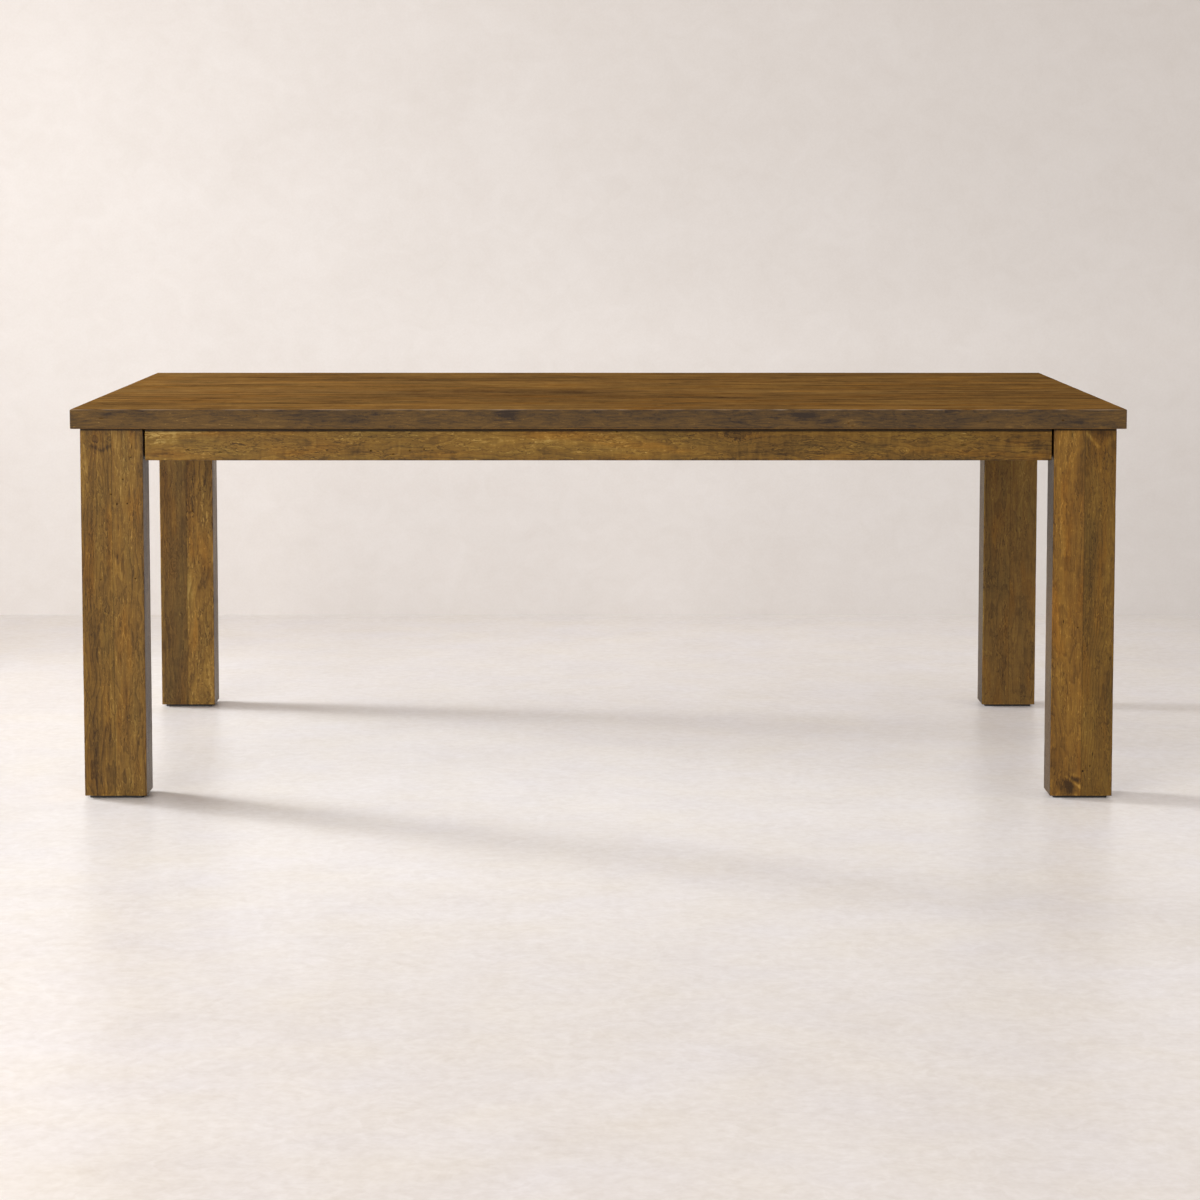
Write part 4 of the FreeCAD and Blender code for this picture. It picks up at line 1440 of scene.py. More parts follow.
@dataclass
class Aprons:
    """The two long and two short rails under the top, grooved inside for the top clips."""

    edge_radius: float = 0.0015
    groove_step: float = 0.00004
    groove_depth: float = 0.010
    groove_height: float = 0.003
    groove_drop: float = 0.008

    FRONT_MARKS = face_marks(
        -486.0,
        (LIGHT, -846, 706, 32, 15, 1.0),
        (DARK, -838, 672, 38, 7, 0.6),
        (CHECK, -793, 682, 5, 1.0, 0.8),
        (CHECK, -730, 677, 6, 1.0, 0.8),
        (KNOT, -690, 690, 22, 12, 0.45),
        (DARK, -468, 680, 12, 10, 0.8),
        (PIN, -439, 680, 2.0, 2.0, 1.0),
        (PIN, -396, 673, 2.4, 1.5, 0.9),
        (PIN, -364, 680, 1.8, 1.8, 0.9),
        (PIN, -336, 683, 1.8, 1.8, 0.8),
        (LIGHT, -120, 700, 60, 16, 0.3),
        (PIN, 36, 717, 2.0, 1.6, 0.8),
        (LIGHT, 90, 682, 110, 18, 0.4),
        (KNOT, 185, 687, 5, 3.4, 0.8),
        (KNOT, 268, 716, 26, 17, 0.55),
        (DARK, 330, 690, 60, 30, 0.35),
        (DARK, 480, 700, 120, 40, 0.25),
        # Painted shade along the apron's lower arris.
        (DARK, 0, 662, 5000, 2.4, 0.9),
        (DARK, 840, 690, 480, 90, 0.66),
        # Painted light just under the top, which offsets the shade from the top's overhang.
        (LIGHT, 0, 716, 5000, 6, 0.25),
        (LIGHT, 0, 716, 5000, 26, 0.24),
        (DARK, 100, 695, 330, 60, 0.2),
        (KNOT, 588, 680, 7, 6, 0.75),
        (LIGHT, 592, 682, 9, 7, 0.6),
        (LIGHT, 700, 700, 38, 26, 0.5),
        (CHECK, 706, 691, 9, 1.2, 0.9),
        (LIGHT, 812, 684, 14, 9, 0.8),
        (CHECK, 822, 678, 9, 1.4, 0.9),
        (DARK, 845, 688, 18, 8, 0.6),
    )

    def build(self) -> Iterable[Piece]:
        """Builds the four aprons.

        Returns:
            The aprons' objects.
        """
        for number, (side, axis, sign) in enumerate((("front", 1, 1), ("back", 1, -1),
                                                     ("left", 0, 1), ("right", 0, -1))):
            yield self._apron(f"apron_{side}", axis, sign, 300 + number)

    def _apron(self, node: str, axis: int, sign: int, seed: int) -> Piece:
        """Builds one apron.

        Args:
            node: The apron's node.
            axis: The axis across the apron.
            sign: Which way along it the inside faces.
            seed: The board's place in the tree.

        Returns:
            The apron's object.
        """
        low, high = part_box(node)
        radius = self.edge_radius
        top = high.z - self.groove_drop
        bottom = top - self.groove_height
        step = self.groove_step
        floor = (high[axis] - self.groove_depth) if sign > 0 else (low[axis] + self.groove_depth)
        lines: list[Sequence[float]] = [(), (), (bottom - step, bottom + step, top - step, top + step)]
        lines[axis] = (floor,)

        def groove(points: np.ndarray) -> np.ndarray:
            """Pushes the groove's rows in to its floor."""
            inside = (points[:, 2] > bottom) & (points[:, 2] < top)
            moved = points.copy()
            clipped = np.minimum(points[:, axis], floor) if sign > 0 else np.maximum(points[:, axis], floor)
            moved[:, axis] = np.where(inside, clipped, points[:, axis])
            return moved

        long_one = axis == 1
        luck = np.random.default_rng(seed)
        finish = BoardFinish(
            APRON_STAIN, Grain.ALONG_X if long_one else Grain.ALONG_Y, seed=seed, middle=middle_of(node),
            pith=(luck.uniform(60, 110) * sign, luck.uniform(-20, 20))
            if long_one else (luck.uniform(-20, 20), luck.uniform(60, 110) * sign),
            ring=5.5, tint=(0.99, 0.96, 1.01),
            figure=Figure(cloud=0.32, band=0.20, blotch=0.12, streak=0.24, fibre=0.26, squiggle=0.31,
                          dash=0.28, fleck=0.30, ring=0.14, curl=0.26),
            features=self.FRONT_MARKS if node == "apron_front" else (),
        )
        spacing = (0.012, 0.0065, 0.0065) if long_one else (0.0065, 0.012, 0.0065)
        # The apron gets an 8 mm band of painted shade under the top's overhang.
        return Board(node, low, high, finish, "apron_wood", (radius,) * 6, spacing, tuple(lines),
                     shade_under_top=0.008, carvings=[groove]).build()


# Turned and threaded hardware


@dataclass(frozen=True)
class MetalFinish:
    """A plated steel finish.

    Attributes:
        name: The finish's name.
        bright: The colour of clean plating.
        dull: The colour where it has gone dull.
        roughness: Its roughness.
        grain: The size of its patches, in millimetres.
    """

    name: str
    bright: Triple
    dull: Triple
    roughness: float
    grain: float = 3.0

    def material(self) -> Material:
        """Makes the finish's material."""
        bench = Bench("metal_" + self.name)
        place = bench.place()
        patch = bench.noise(place, (self.grain,) * 3, 4.0, 0.6, 0.6)
        scratch = bench.noise(place, (self.grain * 2.2, 0.16, 0.16), 2.0)
        worn = bench.smooth(bench.total(patch, (scratch, 0.35)), -0.15, 0.45)
        colour = bench.mix(worn, (*self.bright, 1.0), (*self.dull, 1.0))
        rough = bench.total(self.roughness, (worn, 0.16), (scratch, 0.06))
        normal = bench.bump(bench.total(scratch, patch), 0.00004, 0.5)
        return bench.surface({"Metallic": 1.0, "Specular IOR Level": 0.5},
                             Base_Color=colour, Roughness=rough, Normal=normal)


BRIGHT_ZINC = MetalFinish("bright_zinc", (0.56, 0.57, 0.57), (0.36, 0.36, 0.36), 0.30)
YELLOW_ZINC = MetalFinish("yellow_zinc", (0.62, 0.50, 0.26), (0.42, 0.33, 0.20), 0.32)
SHEET_ZINC = MetalFinish("sheet_zinc", (0.50, 0.51, 0.51), (0.32, 0.33, 0.33), 0.38, 5.0)


def islands(node: Piece) -> list[np.ndarray]:
    """Splits a node into its separate solids.

    Args:
        node: The node's object.

    Returns:
        The points of each solid.
    """
    points = np.array([vertex.co for vertex in node.data.vertices])
    _, number = np.unique(np.round(points, 6), axis=0, return_inverse=True)
    number = number.ravel()
    parent = list(range(number.max() + 1))

    def root(item: int) -> int:
        """Follows an item to the head of its group."""
        while parent[item] != item:
            parent[item] = parent[parent[item]]
            item = parent[item]
        return item

    for edge in node.data.edges:
        first, second = (root(number[vertex]) for vertex in edge.vertices)
        parent[first] = second
    group = np.array([root(item) for item in number])
    return [points[group == head] for head in sorted(set(group.tolist()))]


@dataclass(frozen=True)
class Spindle:
    """Where a turned solid lies: its axis, and the two directions across it.

    Attributes:
        axis: The direction in which places along it grow.
        side: A direction across it.
        other: The other direction across it.
        centre: Its place across, as a point on the axis.
    """

    axis: np.ndarray
    side: np.ndarray
    other: np.ndarray
    centre: np.ndarray

    @classmethod
    def of(cls, points: np.ndarray, axis: np.ndarray) -> Spindle:
        """Finds the spindle of a solid.

        Args:
            points: The solid's points.
            axis: The direction of its axis.

        Returns:
            The spindle.
        """
        axis = axis / np.linalg.norm(axis)
        helper = np.array([0.0, 0.0, 1.0]) if abs(axis[2]) < 0.5 else np.array([1.0, 0.0, 0.0])
        side = np.cross(helper, axis)
        side /= np.linalg.norm(side)
        other = np.cross(axis, side)
        places = [points @ direction for direction in (side, other)]
        middle = [(place.min() + place.max()) / 2 for place in places]
        return cls(axis, side, other, side * middle[0] + other * middle[1])

    def along(self, points: np.ndarray) -> np.ndarray:
        """The places of points along the axis."""
        return points @ self.axis

    def radius(self, points: np.ndarray) -> np.ndarray:
        """The distances of points from the axis."""
        return np.hypot((points - self.centre) @ self.side, (points - self.centre) @ self.other)

    def angle(self, points: np.ndarray) -> np.ndarray:
        """The angles of points round the axis."""
        return np.arctan2((points - self.centre) @ self.other, (points - self.centre) @ self.side)

    def at(self, place: np.ndarray, radius: np.ndarray, angle: np.ndarray) -> np.ndarray:
        """The points at places along, distances from and angles round the axis."""
        place, radius, angle = np.broadcast_arrays(place, radius, angle)
        return (self.centre + place[..., None] * self.axis + (radius * np.cos(angle))[..., None] * self.side
                + (radius * np.sin(angle))[..., None] * self.other)


@dataclass
class Lathe:
    """Collects turned surfaces into one mesh."""

    points: list[np.ndarray] = field(default_factory=list)
    faces: list[np.ndarray] = field(default_factory=list)
    count: int = 0

    def skin(self, grid: np.ndarray, closed: bool = True) -> None:
        """Adds a grid of points as a surface.

        Args:
            grid: Rows of points; each row is one turn round the axis.
            closed: Whether the last point of a row joins the first.
        """
        rows, columns = grid.shape[:2]
        number = np.arange(rows * columns).reshape(rows, columns) + self.count
        after = np.roll(number, -1, axis=1)
        if not closed:
            number, after = number[:, :-1], after[:, :-1]
        quads = np.stack([number[:-1], after[:-1], after[1:], number[1:]], axis=-1).reshape(-1, 4)
        self.points.append(grid.reshape(-1, 3))
        self.faces.append(quads)
        self.count += rows * columns

    def build(self, node: str, finish: Material, slot: str) -> Piece:
        """Makes the collected surfaces one piece that stands for a node.

        Args:
            node: The node that it stands for.
            finish: Its material.
            slot: The record's material slot.

        Returns:
            The piece.
        """
        mesh = bpy.data.meshes.new(node + "_dressed")
        mesh.from_pydata(np.concatenate(self.points).tolist(), [], np.concatenate(self.faces).tolist())
        work = bmesh.new()
        work.from_mesh(mesh)
        bmesh.ops.remove_doubles(work, verts=work.verts, dist=2e-6)
        bmesh.ops.dissolve_degenerate(work, edges=work.edges, dist=1e-6)
        bmesh.ops.recalc_face_normals(work, faces=work.faces)
        work.to_mesh(mesh)
        work.free()
        shade_smooth(mesh, 35.0)
        return stand_in(mesh, node, finish, slot)


@dataclass(frozen=True)
class Thread:
    """A thread: its pitch, its depth and how much of each turn is crest."""

    pitch: float
    depth: float
    crest: float = 0.25

    def cut(self, place: np.ndarray, angle: np.ndarray) -> np.ndarray:
        """How deep the thread is cut at places along and angles round the axis."""
        turn = np.mod(place / self.pitch - angle / math.tau, 1.0)
        slope = np.abs(turn - 0.5) * 2.0
        return self.depth * np.clip((1.0 - slope) / (1.0 - self.crest), 0.0, 1.0)


@dataclass
class Screws:
    """Pan-head wood screws with a cross recess and a real thread."""

    node: str
    bodies: list[np.ndarray]
    columns: int = 16
    rows_per_turn: int = 6
    face_rings: int = 7

    BREAK = 0.0001
    PITCH = 1.05
    DEPTH = 0.30
    PLAIN_SHARE = 0.22
    LEAD = 0.3

    def build(self) -> Piece:
        """Builds every screw of the node as one piece."""
        lathe = Lathe()
        for number, points in enumerate(self.bodies):
            self._screw(lathe, points, number)
        return lathe.build(self.node, YELLOW_ZINC.material(), "screw_steel")

    def _screw(self, lathe: Lathe, points: np.ndarray, number: int) -> None:
        """Turns one screw.

        Args:
            lathe: Where to add it.
            points: The points of its solid.
            number: Its number in the row, which turns its recess.
        """
        size = points.max(0) - points.min(0)
        axis = np.eye(3)[int(size.argmax())]
        spindle = Spindle.of(points, axis)
        place, radius = spindle.along(points), spindle.radius(points)
        if place[radius > radius.max() - CLOSE].mean() > (place.min() + place.max()) / 2:
            spindle = Spindle.of(points, -axis)
            place = spindle.along(points)
        top, tip = place.min(), place.max()
        rim = radius.max()
        under = place[radius > rim - CLOSE].max()
        shank = radius[place > under + CLOSE].max()
        taper = place[radius > shank - CLOSE].max()
        crown = radius[place < top + CLOSE].max()
        shoulder = place[radius > rim - CLOSE].min()
        angle = np.linspace(0.0, math.tau, self.columns, endpoint=False) + number * 0.7
        rings = [(top, crown * share) for share in np.linspace(0.0, 1.0, self.face_rings)]
        rings += [(top + (shoulder - top) * 0.5, (crown + rim) / 2 + (rim - crown) * 0.08)]
        rings += [(shoulder, rim), (under - self.BREAK, rim), (under, rim - self.BREAK), (under, shank)]
        grid = np.array([spindle.at(step, reach, angle) for step, reach in rings])
        recess = self._recess(angle, crown)
        grid[:self.face_rings] += recess[..., None] * spindle.axis
        lathe.skin(grid)
        thread = Thread(pitch=shank * self.PITCH, depth=shank * self.DEPTH)
        start = under + (taper - under) * self.PLAIN_SHARE
        lead = start - thread.pitch * self.LEAD
        rows = max(2, int((tip - start) / thread.pitch * self.rows_per_turn))
        along = np.concatenate([[under, lead], np.linspace(start, tip, rows)])
        taken = np.interp(along, [under, lead, start, taper, tip], [0.0, 0.0, 1.0, 1.0, 0.0])
        outer = np.interp(along, [under, taper, tip], [shank, shank, 0.0])
        turned = thread.cut(along[:, None], angle[None, :]) * taken[:, None]
        shell = np.clip(outer[:, None] - turned, 0.0, None)
        lathe.skin(spindle.at(along[:, None], shell, angle))

    def _recess(self, angle: np.ndarray, crown: float) -> np.ndarray:
        """The depth of the cross recess at each ring and angle of the head's face."""
        radius = np.linspace(0.0, 1.0, self.face_rings)[:, None] * crown
        turn = (angle - angle[0])[None, :]
        across = np.minimum(np.abs(radius * np.cos(turn)), np.abs(radius * np.sin(turn)))
        inside = np.clip(1.0 - across / (0.24 * crown), 0.0, 1.0)
        reach = np.clip((0.86 * crown - radius) / (0.5 * crown), 0.0, 1.0)
        return crown * 0.62 * np.minimum(inside * 1.6, 1.0) * reach


@dataclass
class CornerHardware:
    """The hanger bolts of one corner, with their nuts and washers."""

    corner: str
    nodes: dict[str, Piece]
    columns: int = 24

    MACHINE = Thread(0.00125, 0.00068, 0.15)
    WOOD = Thread(0.0030, 0.00125, 0.18)
    NUT = Thread(0.00125, 0.0005, 0.2)
    MACHINE_LENGTH = 0.034
    WOOD_LENGTH = 0.040
    RUN_OUT = 0.001
    FADES = (0.002, 0.003)
    NUT_COLUMNS = 72
    NUT_ROWS = 31
    NUT_FLARE = 0.0006

    def build(self) -> Iterable[Piece]:
        """Builds the four kinds of pieces of the corner."""
        outward = np.array([-1.0 if "left" in self.corner else 1.0,
                            -1.0 if "front" in self.corner else 1.0, 0.0])
        makers = (("hanger_bolts", self._bolt), ("hex_nuts", self._nut),
                  ("flat_washers", self._washer), ("spring_washers", self._spring))
        for kind, make in makers:
            node = f"{kind}_{self.corner}"
            lathe = Lathe()
            for points in islands(self.nodes[node]):
                make(lathe, points, Spindle.of(points, outward))
            yield lathe.build(node, BRIGHT_ZINC.material(), "bolt_steel")

    def _bolt(self, lathe: Lathe, points: np.ndarray, spindle: Spindle) -> None:
        """Turns a hanger bolt: machine thread inside, wood thread in the leg."""
        place, radius = spindle.along(points), spindle.radius(points)
        start, end = place.min(), place.max()
        full = radius.max()
        angle = np.linspace(0.0, math.tau, self.columns, endpoint=False)
        chamfer = place[radius > full - CLOSE].min()
        taper = place[radius > full - CLOSE].max()
        machined = start + self.MACHINE_LENGTH
        cut_from = end - self.WOOD_LENGTH
        machine_rows = int(self.MACHINE_LENGTH / self.MACHINE.pitch * 6)
        wood_rows = int(self.WOOD_LENGTH / self.WOOD.pitch * 8)
        along = np.concatenate([
            np.linspace(start, machined, machine_rows), [machined + self.RUN_OUT, cut_from - self.RUN_OUT],
            np.linspace(cut_from, end, wood_rows),
        ])
        point = radius[place < start + CLOSE].max()
        outer = np.interp(along, [start, chamfer, taper, end], [point, full, full, 0.0])
        fade = np.interp(along, [machined - self.FADES[0], machined, cut_from, cut_from + self.FADES[1]],
                         [1.0, 0.0, 0.0, 1.0])
        places, angles = along[:, None], angle[None, :]
        cuts = np.where(places < machined + self.RUN_OUT, self.MACHINE.cut(places, angles),
                        self.WOOD.cut(places, angles))
        shell = np.clip(outer[:, None] - cuts * fade[:, None], 0.0, None)
        shell = np.concatenate([np.zeros((1, self.columns)), shell])
        along = np.concatenate([[start], along])
        lathe.skin(spindle.at(along[:, None], shell, angle))

    def _nut(self, lathe: Lathe, points: np.ndarray, spindle: Spindle) -> None:
        """Shapes a hexagon nut with chamfered corners and a threaded bore."""
        place, radius = spindle.along(points), spindle.radius(points)
        low, high = place.min(), place.max()
        bore, corner = radius.min(), radius.max()
        flat = corner * math.cos(math.pi / 6)
        turned = spindle.angle(points)[int(radius.argmax())]
        angle = np.linspace(0.0, math.tau, self.NUT_COLUMNS, endpoint=False) + turned
        sixth = math.pi / 3
        hexagon = flat / np.cos(np.mod(angle - turned, sixth) - sixth / 2)
        thick = high - low
        rows = []
        for share in (0.0, 0.03, 0.06, 0.10, 0.15, 0.5, 0.85, 0.90, 0.94, 0.97, 1.0):
            near = min(share, 1.0 - share) * thick
            rows.append((low + share * thick, np.minimum(hexagon, flat * 0.955 + near * 1.75)))
        inside = []
        for share in np.linspace(1.0, 0.0, self.NUT_ROWS):
            flare = max(0.0, self.NUT_FLARE - min(share, 1.0 - share) * thick)
            step = low + share * thick
            inside.append((step, bore + flare + self.NUT.depth - self.NUT.cut(step, angle)))
        lathe.skin(np.array([spindle.at(step, reach, angle) for step, reach in rows + inside + rows[:1]]))

    def _washer(self, lathe: Lathe, points: np.ndarray, spindle: Spindle) -> None:
        """Stamps a flat washer with one rolled and one sharp rim."""
        self._ring(lathe, points, spindle, gap=0.0, columns=48, bevel=0.0003)

    def _spring(self, lathe: Lathe, points: np.ndarray, spindle: Spindle) -> None:
        """Coils a split spring washer, with its gap where the construction has it."""
        turns = np.sort(spindle.angle(points))
        gaps = np.diff(np.concatenate([turns, [turns[0] + math.tau]]))
        widest = int(gaps.argmax())
        start = turns[widest] + gaps[widest]
        self._ring(lathe, points, spindle, gap=gaps[widest], columns=44, bevel=0.0002, start=start)

    def _ring(self, lathe: Lathe, points: np.ndarray, spindle: Spindle, gap: float, columns: int,
              bevel: float, start: float = 0.0) -> None:
        """Adds a ring of rectangular section with bevelled rims.

        Args:
            lathe: Where to add it.
            points: The points of its solid.
            spindle: Where it lies.
            gap: The angle that is left open, or 0.
            columns: How many steps it has round.
            bevel: The bevel's size.
            start: The angle where it starts.
        """
        place, radius = spindle.along(points), spindle.radius(points)
        low, high, inner, outer = place.min(), place.max(), radius.min(), radius.max()
        section = [
            (low, inner + bevel), (low, outer - bevel), (low + bevel * 0.3, outer - bevel * 0.3),
            (low + bevel, outer), (high - bevel, outer), (high - bevel * 0.3, outer - bevel * 0.3),
            (high, outer - bevel), (high, inner + bevel), (high - bevel, inner), (low + bevel, inner),
            (low, inner + bevel),
        ]
        closed = gap == 0.0
        angle = start + np.linspace(0.0, math.tau - gap, columns, endpoint=not closed)
        grid = np.array([spindle.at(step, reach, angle) for step, reach in section])
        lathe.skin(grid, closed=closed)
        if not closed:
            for column in (0, -1):
                rim = grid[:-1, column]
                middle = np.broadcast_to(rim.mean(axis=0), rim.shape)
                lathe.skin(np.stack([rim, middle]))


@dataclass(frozen=True)
class PlasticFinish:
    """Black moulded plastic with a fine spark texture and scuffs."""

    name: str = "pad_plastic"

    def material(self) -> Material:
        """Makes the finish's material."""
        bench = Bench(self.name)
        place = bench.place()
        spark = bench.noise(place, (0.55, 0.55, 0.55), 2.0, 0.6)
        scuff = bench.noise(place, (16.0, 2.2, 2.2), 3.0, 0.6, 0.6)
        dusty = bench.smooth(scuff, 0.12, 0.50)
        colour = bench.mix(dusty, (0.0125, 0.0120, 0.0115, 1.0), (0.034, 0.031, 0.027, 1.0))
        rough = bench.total(0.50, (dusty, 0.22), (spark, 0.08))
        return bench.surface({"Specular IOR Level": 0.45}, Base_Color=colour, Roughness=rough,
                             Normal=bench.bump(spark, 0.00006, 0.6))


@dataclass
class Hidden:
    """What lies under the top: corner blocks, cross rails, clips, pads, screws and bolts."""

    nodes: dict[str, Piece]
    bevel: float = 0.0008

    CORNERS = ("front_left", "front_right", "back_left", "back_right")

    def build(self) -> Iterable[Piece]:
        """Dresses or builds every hidden piece."""
        for number, corner in enumerate(self.CORNERS):
            yield self._wood(f"corner_block_{corner}", Grain.ALONG_Z, 400 + number)
            yield self._plain(f"foot_pad_{corner}", PlasticFinish().material(), 0.0005)
            yield from CornerHardware(corner, self.nodes).build()
            yield self._screws(f"block_screws_{corner}")
        for number in (1, 2, 3):
            yield self._wood(f"cross_rail_{number}", Grain.ALONG_Y, 410 + number)
        for side in ("front", "back", "left", "right"):
            yield self._plain(f"top_clips_{side}", SHEET_ZINC.material(), 0.00025)
        for name in ("rail_screws", "clip_screws", "foot_pad_screws"):
            yield self._screws(name)

    def _screws(self, node: str) -> Piece:
        """Builds the screws of one node."""
        return Screws(node, islands(self.nodes[node])).build()

    def _wood(self, node: str, grain: Grain, seed: int) -> Piece:
        """Gives a wooden node eased edges and its own wood.

        Args:
            node: The node.
            grain: Which way its fibres run.
            seed: Its place in the tree.

        Returns:
            The node's object.
        """
        finish = BoardFinish(FRAME_STAIN, grain, seed=seed, middle=middle_of(node), ring=4.5,
                             pith=(35.0, 80.0), figure=Figure(cloud=0.2, streak=0.26, ring=0.2))
        return self._plain(node, finish.material(node), self.bevel)

    def _plain(self, node: str, finish: Material, bevel: float) -> Piece:
        """Puts a finish and a small bevel on a node that keeps its own mesh.

        Args:
            node: The node.
            finish: Its material.
            bevel: The bevel's width.

        Returns:
            The node's object.
        """
        piece = self.nodes[node]
        piece.material_slots[0].material = finish
        for label in ("edge_wear_and_light", "glue_and_shade"):
            if label not in piece.data.attributes:
                piece.data.attributes.new(label, "FLOAT", "POINT")
        eased = piece.modifiers.new("eased", "BEVEL")
        eased.width = bevel
        eased.segments = 2
        eased.limit_method = "ANGLE"
        eased.angle_limit = math.radians(35.0)
        eased.harden_normals = True
        return piece


@dataclass(frozen=True)
class Glow:
    """How a studio surface's own light lies over it.

    Attributes:
        axis: The axis along which the far corners lie.
        span: Where the near and the far corners lie on it, in millimetres.
        corners: The levels at the near left, near right, far left and far right.
        pools: Lighter or darker pools: centre and reach in millimetres, and amount.
    """

    axis: int
    span: tuple[float, float]
    corners: tuple[float, float, float, float]
    pools: tuple[tuple[Triple, Triple, float], ...] = ()


@dataclass
class Studio:
    """The pale floor and wall, the lamps and the camera."""

    wall_y: float = 1.729
    floor_size: float = 30.0
    lit: float = 0.80
    floor_glow: Glow = Glow(1, (-2200.0, 1700.0), (0.139, 0.141, 0.147, 0.073), (
        # Painted light and shade: the two dark pools on the left dim the key lamp's hot spot, and the pool
        # behind the table fills the front lamp's shadow there.
        ((-1400, -100, 0), (700, 800, 400), -0.205),
        ((-500, 200, 0), (700, 900, 400), -0.105),
        ((300, 1500, 0), (1300, 600, 400), 0.08),
        ((-1300, -2200, 0), (700, 800, 400), 0.24),
        ((200, -1500, 0), (800, 800, 400), -0.05),
    ))
    wall_glow: Glow = Glow(2, (0.0, 1900.0), (0.262, 0.09, 0.272, 0.043), (
        # Painted light: the two low pools fill the shadow that the front lamp casts from the table onto the
        # wall.
        ((0, 1729, 200), (800, 900, 500), 0.15),
        ((1200, 1729, 200), (800, 900, 500), 0.105),
        ((-1700, 1729, 1500), (700, 900, 700), 0.065),
    ))
    camera_place: Triple = (0.0, -5.5675, 1.1855)
    fill_colour: Triple = (1.0, 0.97, 0.94)
    key_colour: Triple = (0.90, 0.955, 1.0)
    pitch: float = 0.0739
    lens: float = 79.30
    shift: tuple[float, float] = (0.0014, -0.18)

    def build(self) -> None:
        """Sets the studio up round the table."""
        floor = self._sheet("floor", Vector((-0.5, -0.5, 0.0)), Vector((1, 0, 0)), Vector((0, 1, 0)))
        wall = self._sheet("wall", Vector((-0.5, self.wall_y / self.floor_size, 0.0)), Vector((1, 0, 0)),
                           Vector((0, 0, 1)))
        floor.data.materials.append(self._floor_plaster())
        wall.data.materials.append(self._wall_plaster())
        self._world()
        self._lamps()
        self._camera()

    def _sheet(self, name: str, corner: Vector, first: Vector, second: Vector) -> Piece:
        """Makes a large flat sheet.

        Args:
            name: The object's name.
            corner: Its first corner, as a share of its size.
            first: The direction of its first side.
            second: The direction of its second side.

        Returns:
            The object.
        """
        size = self.floor_size
        start = corner * size
        points = [start, start + first * size, start + (first + second) * size, start + second * size]
        mesh = bpy.data.meshes.new(name)
        mesh.from_pydata([tuple(point) for point in points], [], [(0, 1, 2, 3)])
        return add(name, mesh)

    def _floor_plaster(self) -> Material:
        """Trowelled pale plaster with a soft polish, which blurs what it mirrors."""
        bench = Bench("studio_floor")
        place = bench.place()
        cloud = bench.noise(place, (480.0, 620.0, 480.0), 3.0, 0.55, 0.3)
        patch = bench.noise(place, (170.0, 160.0, 120.0), 3.0, 0.60, 0.6)
        crease = bench.noise(place, (74.0, 60.0, 42.0), 2.5, 0.60, 1.1)
        nap = bench.noise(place, (20.0, 20.0, 15.0), 2.0, 0.70)
        ridge = bench.maths("SUBTRACT", 1.0, bench.smooth(bench.maths("ABSOLUTE", crease), 0.0, 0.10))
        flank = bench.times(bench.smooth(crease, 0.07, 0.13),
                            bench.maths("SUBTRACT", 1.0, bench.smooth(crease, 0.18, 0.30)))
        warm = bench.noise(place, (240.0, 170.0, 120.0), 2.0, 0.6)
        lamp_spot_shade = bench.pool(place, (-1450.0, 150.0, 0.0), (600.0, 800.0, 400.0))
        # Painted shade: the floor is darker round the key lamp's hot spot.
        tone = bench.total(1.0, (cloud, 0.045), (patch, 0.070), (ridge, 0.022),
                           (flank, -0.018), (nap, 0.125), (lamp_spot_shade, -0.15))
        normal = bench.bump(bench.total((patch, 0.5), (crease, 0.5)), 0.0012, 0.35)
        glow = self._glow(bench, place, self.floor_glow)
        return self._glowing(bench, tone, (0.807, 0.756, 0.725), glow, 0.34, 0.42, normal,
                             bench.times(warm, 0.065))

    def _wall_plaster(self) -> Material:
        """Lime-washed wall, brushed in small clouds."""
        bench = Bench("studio_wall")
        place = bench.place()
        cloud = bench.noise(place, (300.0, 300.0, 240.0), 3.0, 0.55, 0.6)
        patch = bench.noise(place, (70.0, 70.0, 60.0), 4.0, 0.62, 0.8)
        grit = bench.noise(place, (6.0, 6.0, 6.0), 2.0, 0.6)
        tone = bench.total(1.0, (cloud, 0.045), (patch, 0.050), (grit, 0.034))
        glow = self._glow(bench, place, self.wall_glow)
        return self._glowing(bench, tone, (0.785, 0.742, 0.713), glow, 0.95, 0.0,
                             bench.bump(patch, 0.0006, 0.25))

    def _glow(self, bench: Bench, place: Socket, glow: Glow) -> Socket:
        """How much light a studio surface adds of its own, so that shadows stay faint.

        Args:
            bench: The material's bench.
            place: The place on the surface, in millimetres.
            glow: How the light lies over the surface.

        Returns:
            The share.
        """
        parts = bench.split(place)
        across = bench.smooth(parts[0], -1800.0, 1800.0)
        along = bench.smooth(parts[glow.axis], *glow.span)
        near_left, near_right, far_left, far_right = glow.corners
        level = bench.total(
            near_left, (across, near_right - near_left), (along, far_left - near_left),
            (bench.times(across, along), near_left - near_right - far_left + far_right),
        )
        for centre, reach, amount in glow.pools:
            level = bench.total(level, (bench.pool(place, centre, reach), amount))
        return bench.maths("MAXIMUM", level, 0.0)

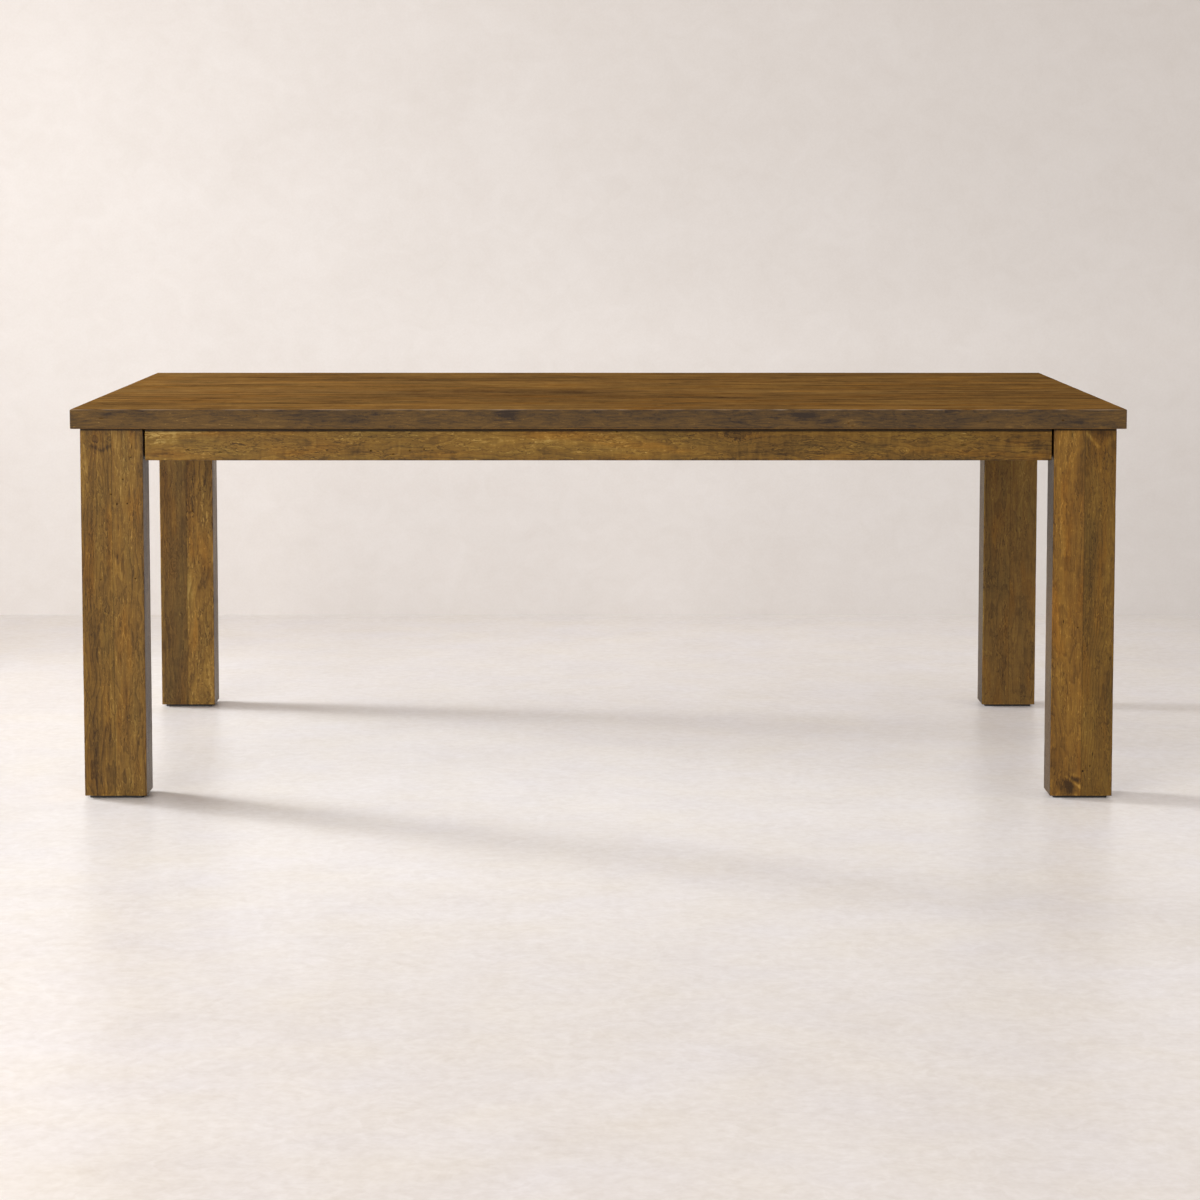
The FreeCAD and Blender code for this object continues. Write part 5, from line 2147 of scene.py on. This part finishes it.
    def _glowing(self, bench: Bench, tone: Socket, colour: Triple, glow: Socket, roughness: float,
                 gloss: float, normal: Socket, warm: Value = 0.0) -> Material:
        """Closes a studio surface.

        Args:
            bench: The material's bench.
            tone: The surface's mottling, about 1.
            colour: Its colour.
            glow: How much light it adds of its own.
            roughness: Its roughness.
            gloss: Its specular level.
            normal: Its shading normal.
            warm: How much warmer or cooler it is from place to place.

        Returns:
            The material, which is clear when seen from its back.
        """
        shade = bench.node("CombineXYZ")
        for socket, share, turn in zip(shade.inputs, (0.85, 1.0, 1.18), (0.25, 0.0, -1.0)):
            bench.feed(socket, bench.total(bench.maths("POWER", tone, share), (warm, turn)))
        painted = bench.mix(1.0, (*colour, 1.0), shade.outputs[0], "MULTIPLY")
        shader = bench.node("BsdfPrincipled")
        lit = (self.lit, self.lit, self.lit, 1.0)
        bench.feed(shader.inputs["Base Color"], bench.mix(1.0, painted, lit, "MULTIPLY"))
        bench.feed(shader.inputs["Emission Color"], painted)
        bench.feed(shader.inputs["Emission Strength"], glow)
        shader.inputs["Roughness"].default_value = roughness
        shader.inputs["Specular IOR Level"].default_value = gloss
        bench.feed(shader.inputs["Normal"], normal)
        choice = bench.node("MixShader")
        bench.feed(choice.inputs[0], bench.node("NewGeometry").outputs["Backfacing"])
        bench.feed(choice.inputs[1], shader.outputs["BSDF"])
        bench.feed(choice.inputs[2], bench.node("BsdfTransparent").outputs["BSDF"])
        out = bench.node("OutputMaterial")
        bench.feed(out.inputs["Surface"], choice.outputs[0])
        return bench.material

    def _world(self) -> None:
        """Soft light from all round, with a pale background."""
        world = bpy.data.worlds.new("studio_air")
        bpy.context.scene.world = world
        world.use_nodes = True
        background = world.node_tree.nodes["Background"]
        background.inputs["Color"].default_value = (*self.fill_colour, 1.0)
        background.inputs["Strength"].default_value = 0.82

    def _lamps(self) -> None:
        """A long low key from the left, in three widths, and a broad soft front light."""
        key = Vector((-3.75, 0.92, 1.0))
        ahead = Vector((0.0, -0.2, 1.0))
        for name, width, height, power in (("core", 0.45, 0.30, 29.8), ("wide", 1.5, 0.35, 26.8),
                                           ("broad", 3.2, 0.4, 43.2)):
            lamp = self._area(f"key_{name}", key, ahead, (width, height), power=power, spread=62.0,
                              colour=self.key_colour)
            lamp.visible_glossy = False
        self._area("front", Vector((-3.0, -5.4, 2.0)), Vector((0.0, 0.0, 0.6)), (3.6, 2.4),
                   power=160.0, spread=180.0, colour=self.fill_colour)

    def _area(self, name: str, place: Vector, target: Vector, size: tuple[float, float], power: float,
              spread: float, colour: Triple) -> Piece:
        """Adds an oblong lamp.

        Args:
            name: The lamp's name.
            place: Where it stands.
            target: Where it points.
            size: Its width and height.
            power: Its power in watts.
            spread: How wide its beam opens, in degrees.
            colour: Its light's colour.

        Returns:
            The lamp.
        """
        light = bpy.data.lights.new(name, "AREA")
        light.shape = "RECTANGLE"
        light.size, light.size_y = size
        light.energy = power
        light.spread = math.radians(spread)
        light.color = colour
        lamp = add(name, light)
        lamp.location = place
        lamp.rotation_euler = (target - place).to_track_quat("-Z", "Y").to_euler()
        return lamp

    def _camera(self) -> None:
        """Puts the camera where the photograph was taken from."""
        data = bpy.data.cameras.new("camera")
        data.lens = self.lens
        data.shift_x, data.shift_y = self.shift
        data.clip_end = 100.0
        camera = add("camera", data)
        camera.location = self.camera_place
        camera.rotation_euler = (math.pi / 2 - self.pitch, 0.0, 0.0)
        bpy.context.scene.camera = camera


def main() -> None:
    """Dresses the table and sets up the studio."""
    logging.basicConfig(level=logging.INFO, format="%(message)s")
    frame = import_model()
    LOG.info("nodes in the frame: %d", len(frame["nodes"]))
    for assembly in (Tabletop(), Legs(frame["nodes"]), Aprons(), Hidden(frame["nodes"])):
        for piece in assembly.build():
            LOG.info("%s: %d faces", piece.name, len(piece.data.polygons))
    Studio().build()
    bpy.context.scene.view_settings.view_transform = "Standard"


if __name__ == "__main__":
    main()
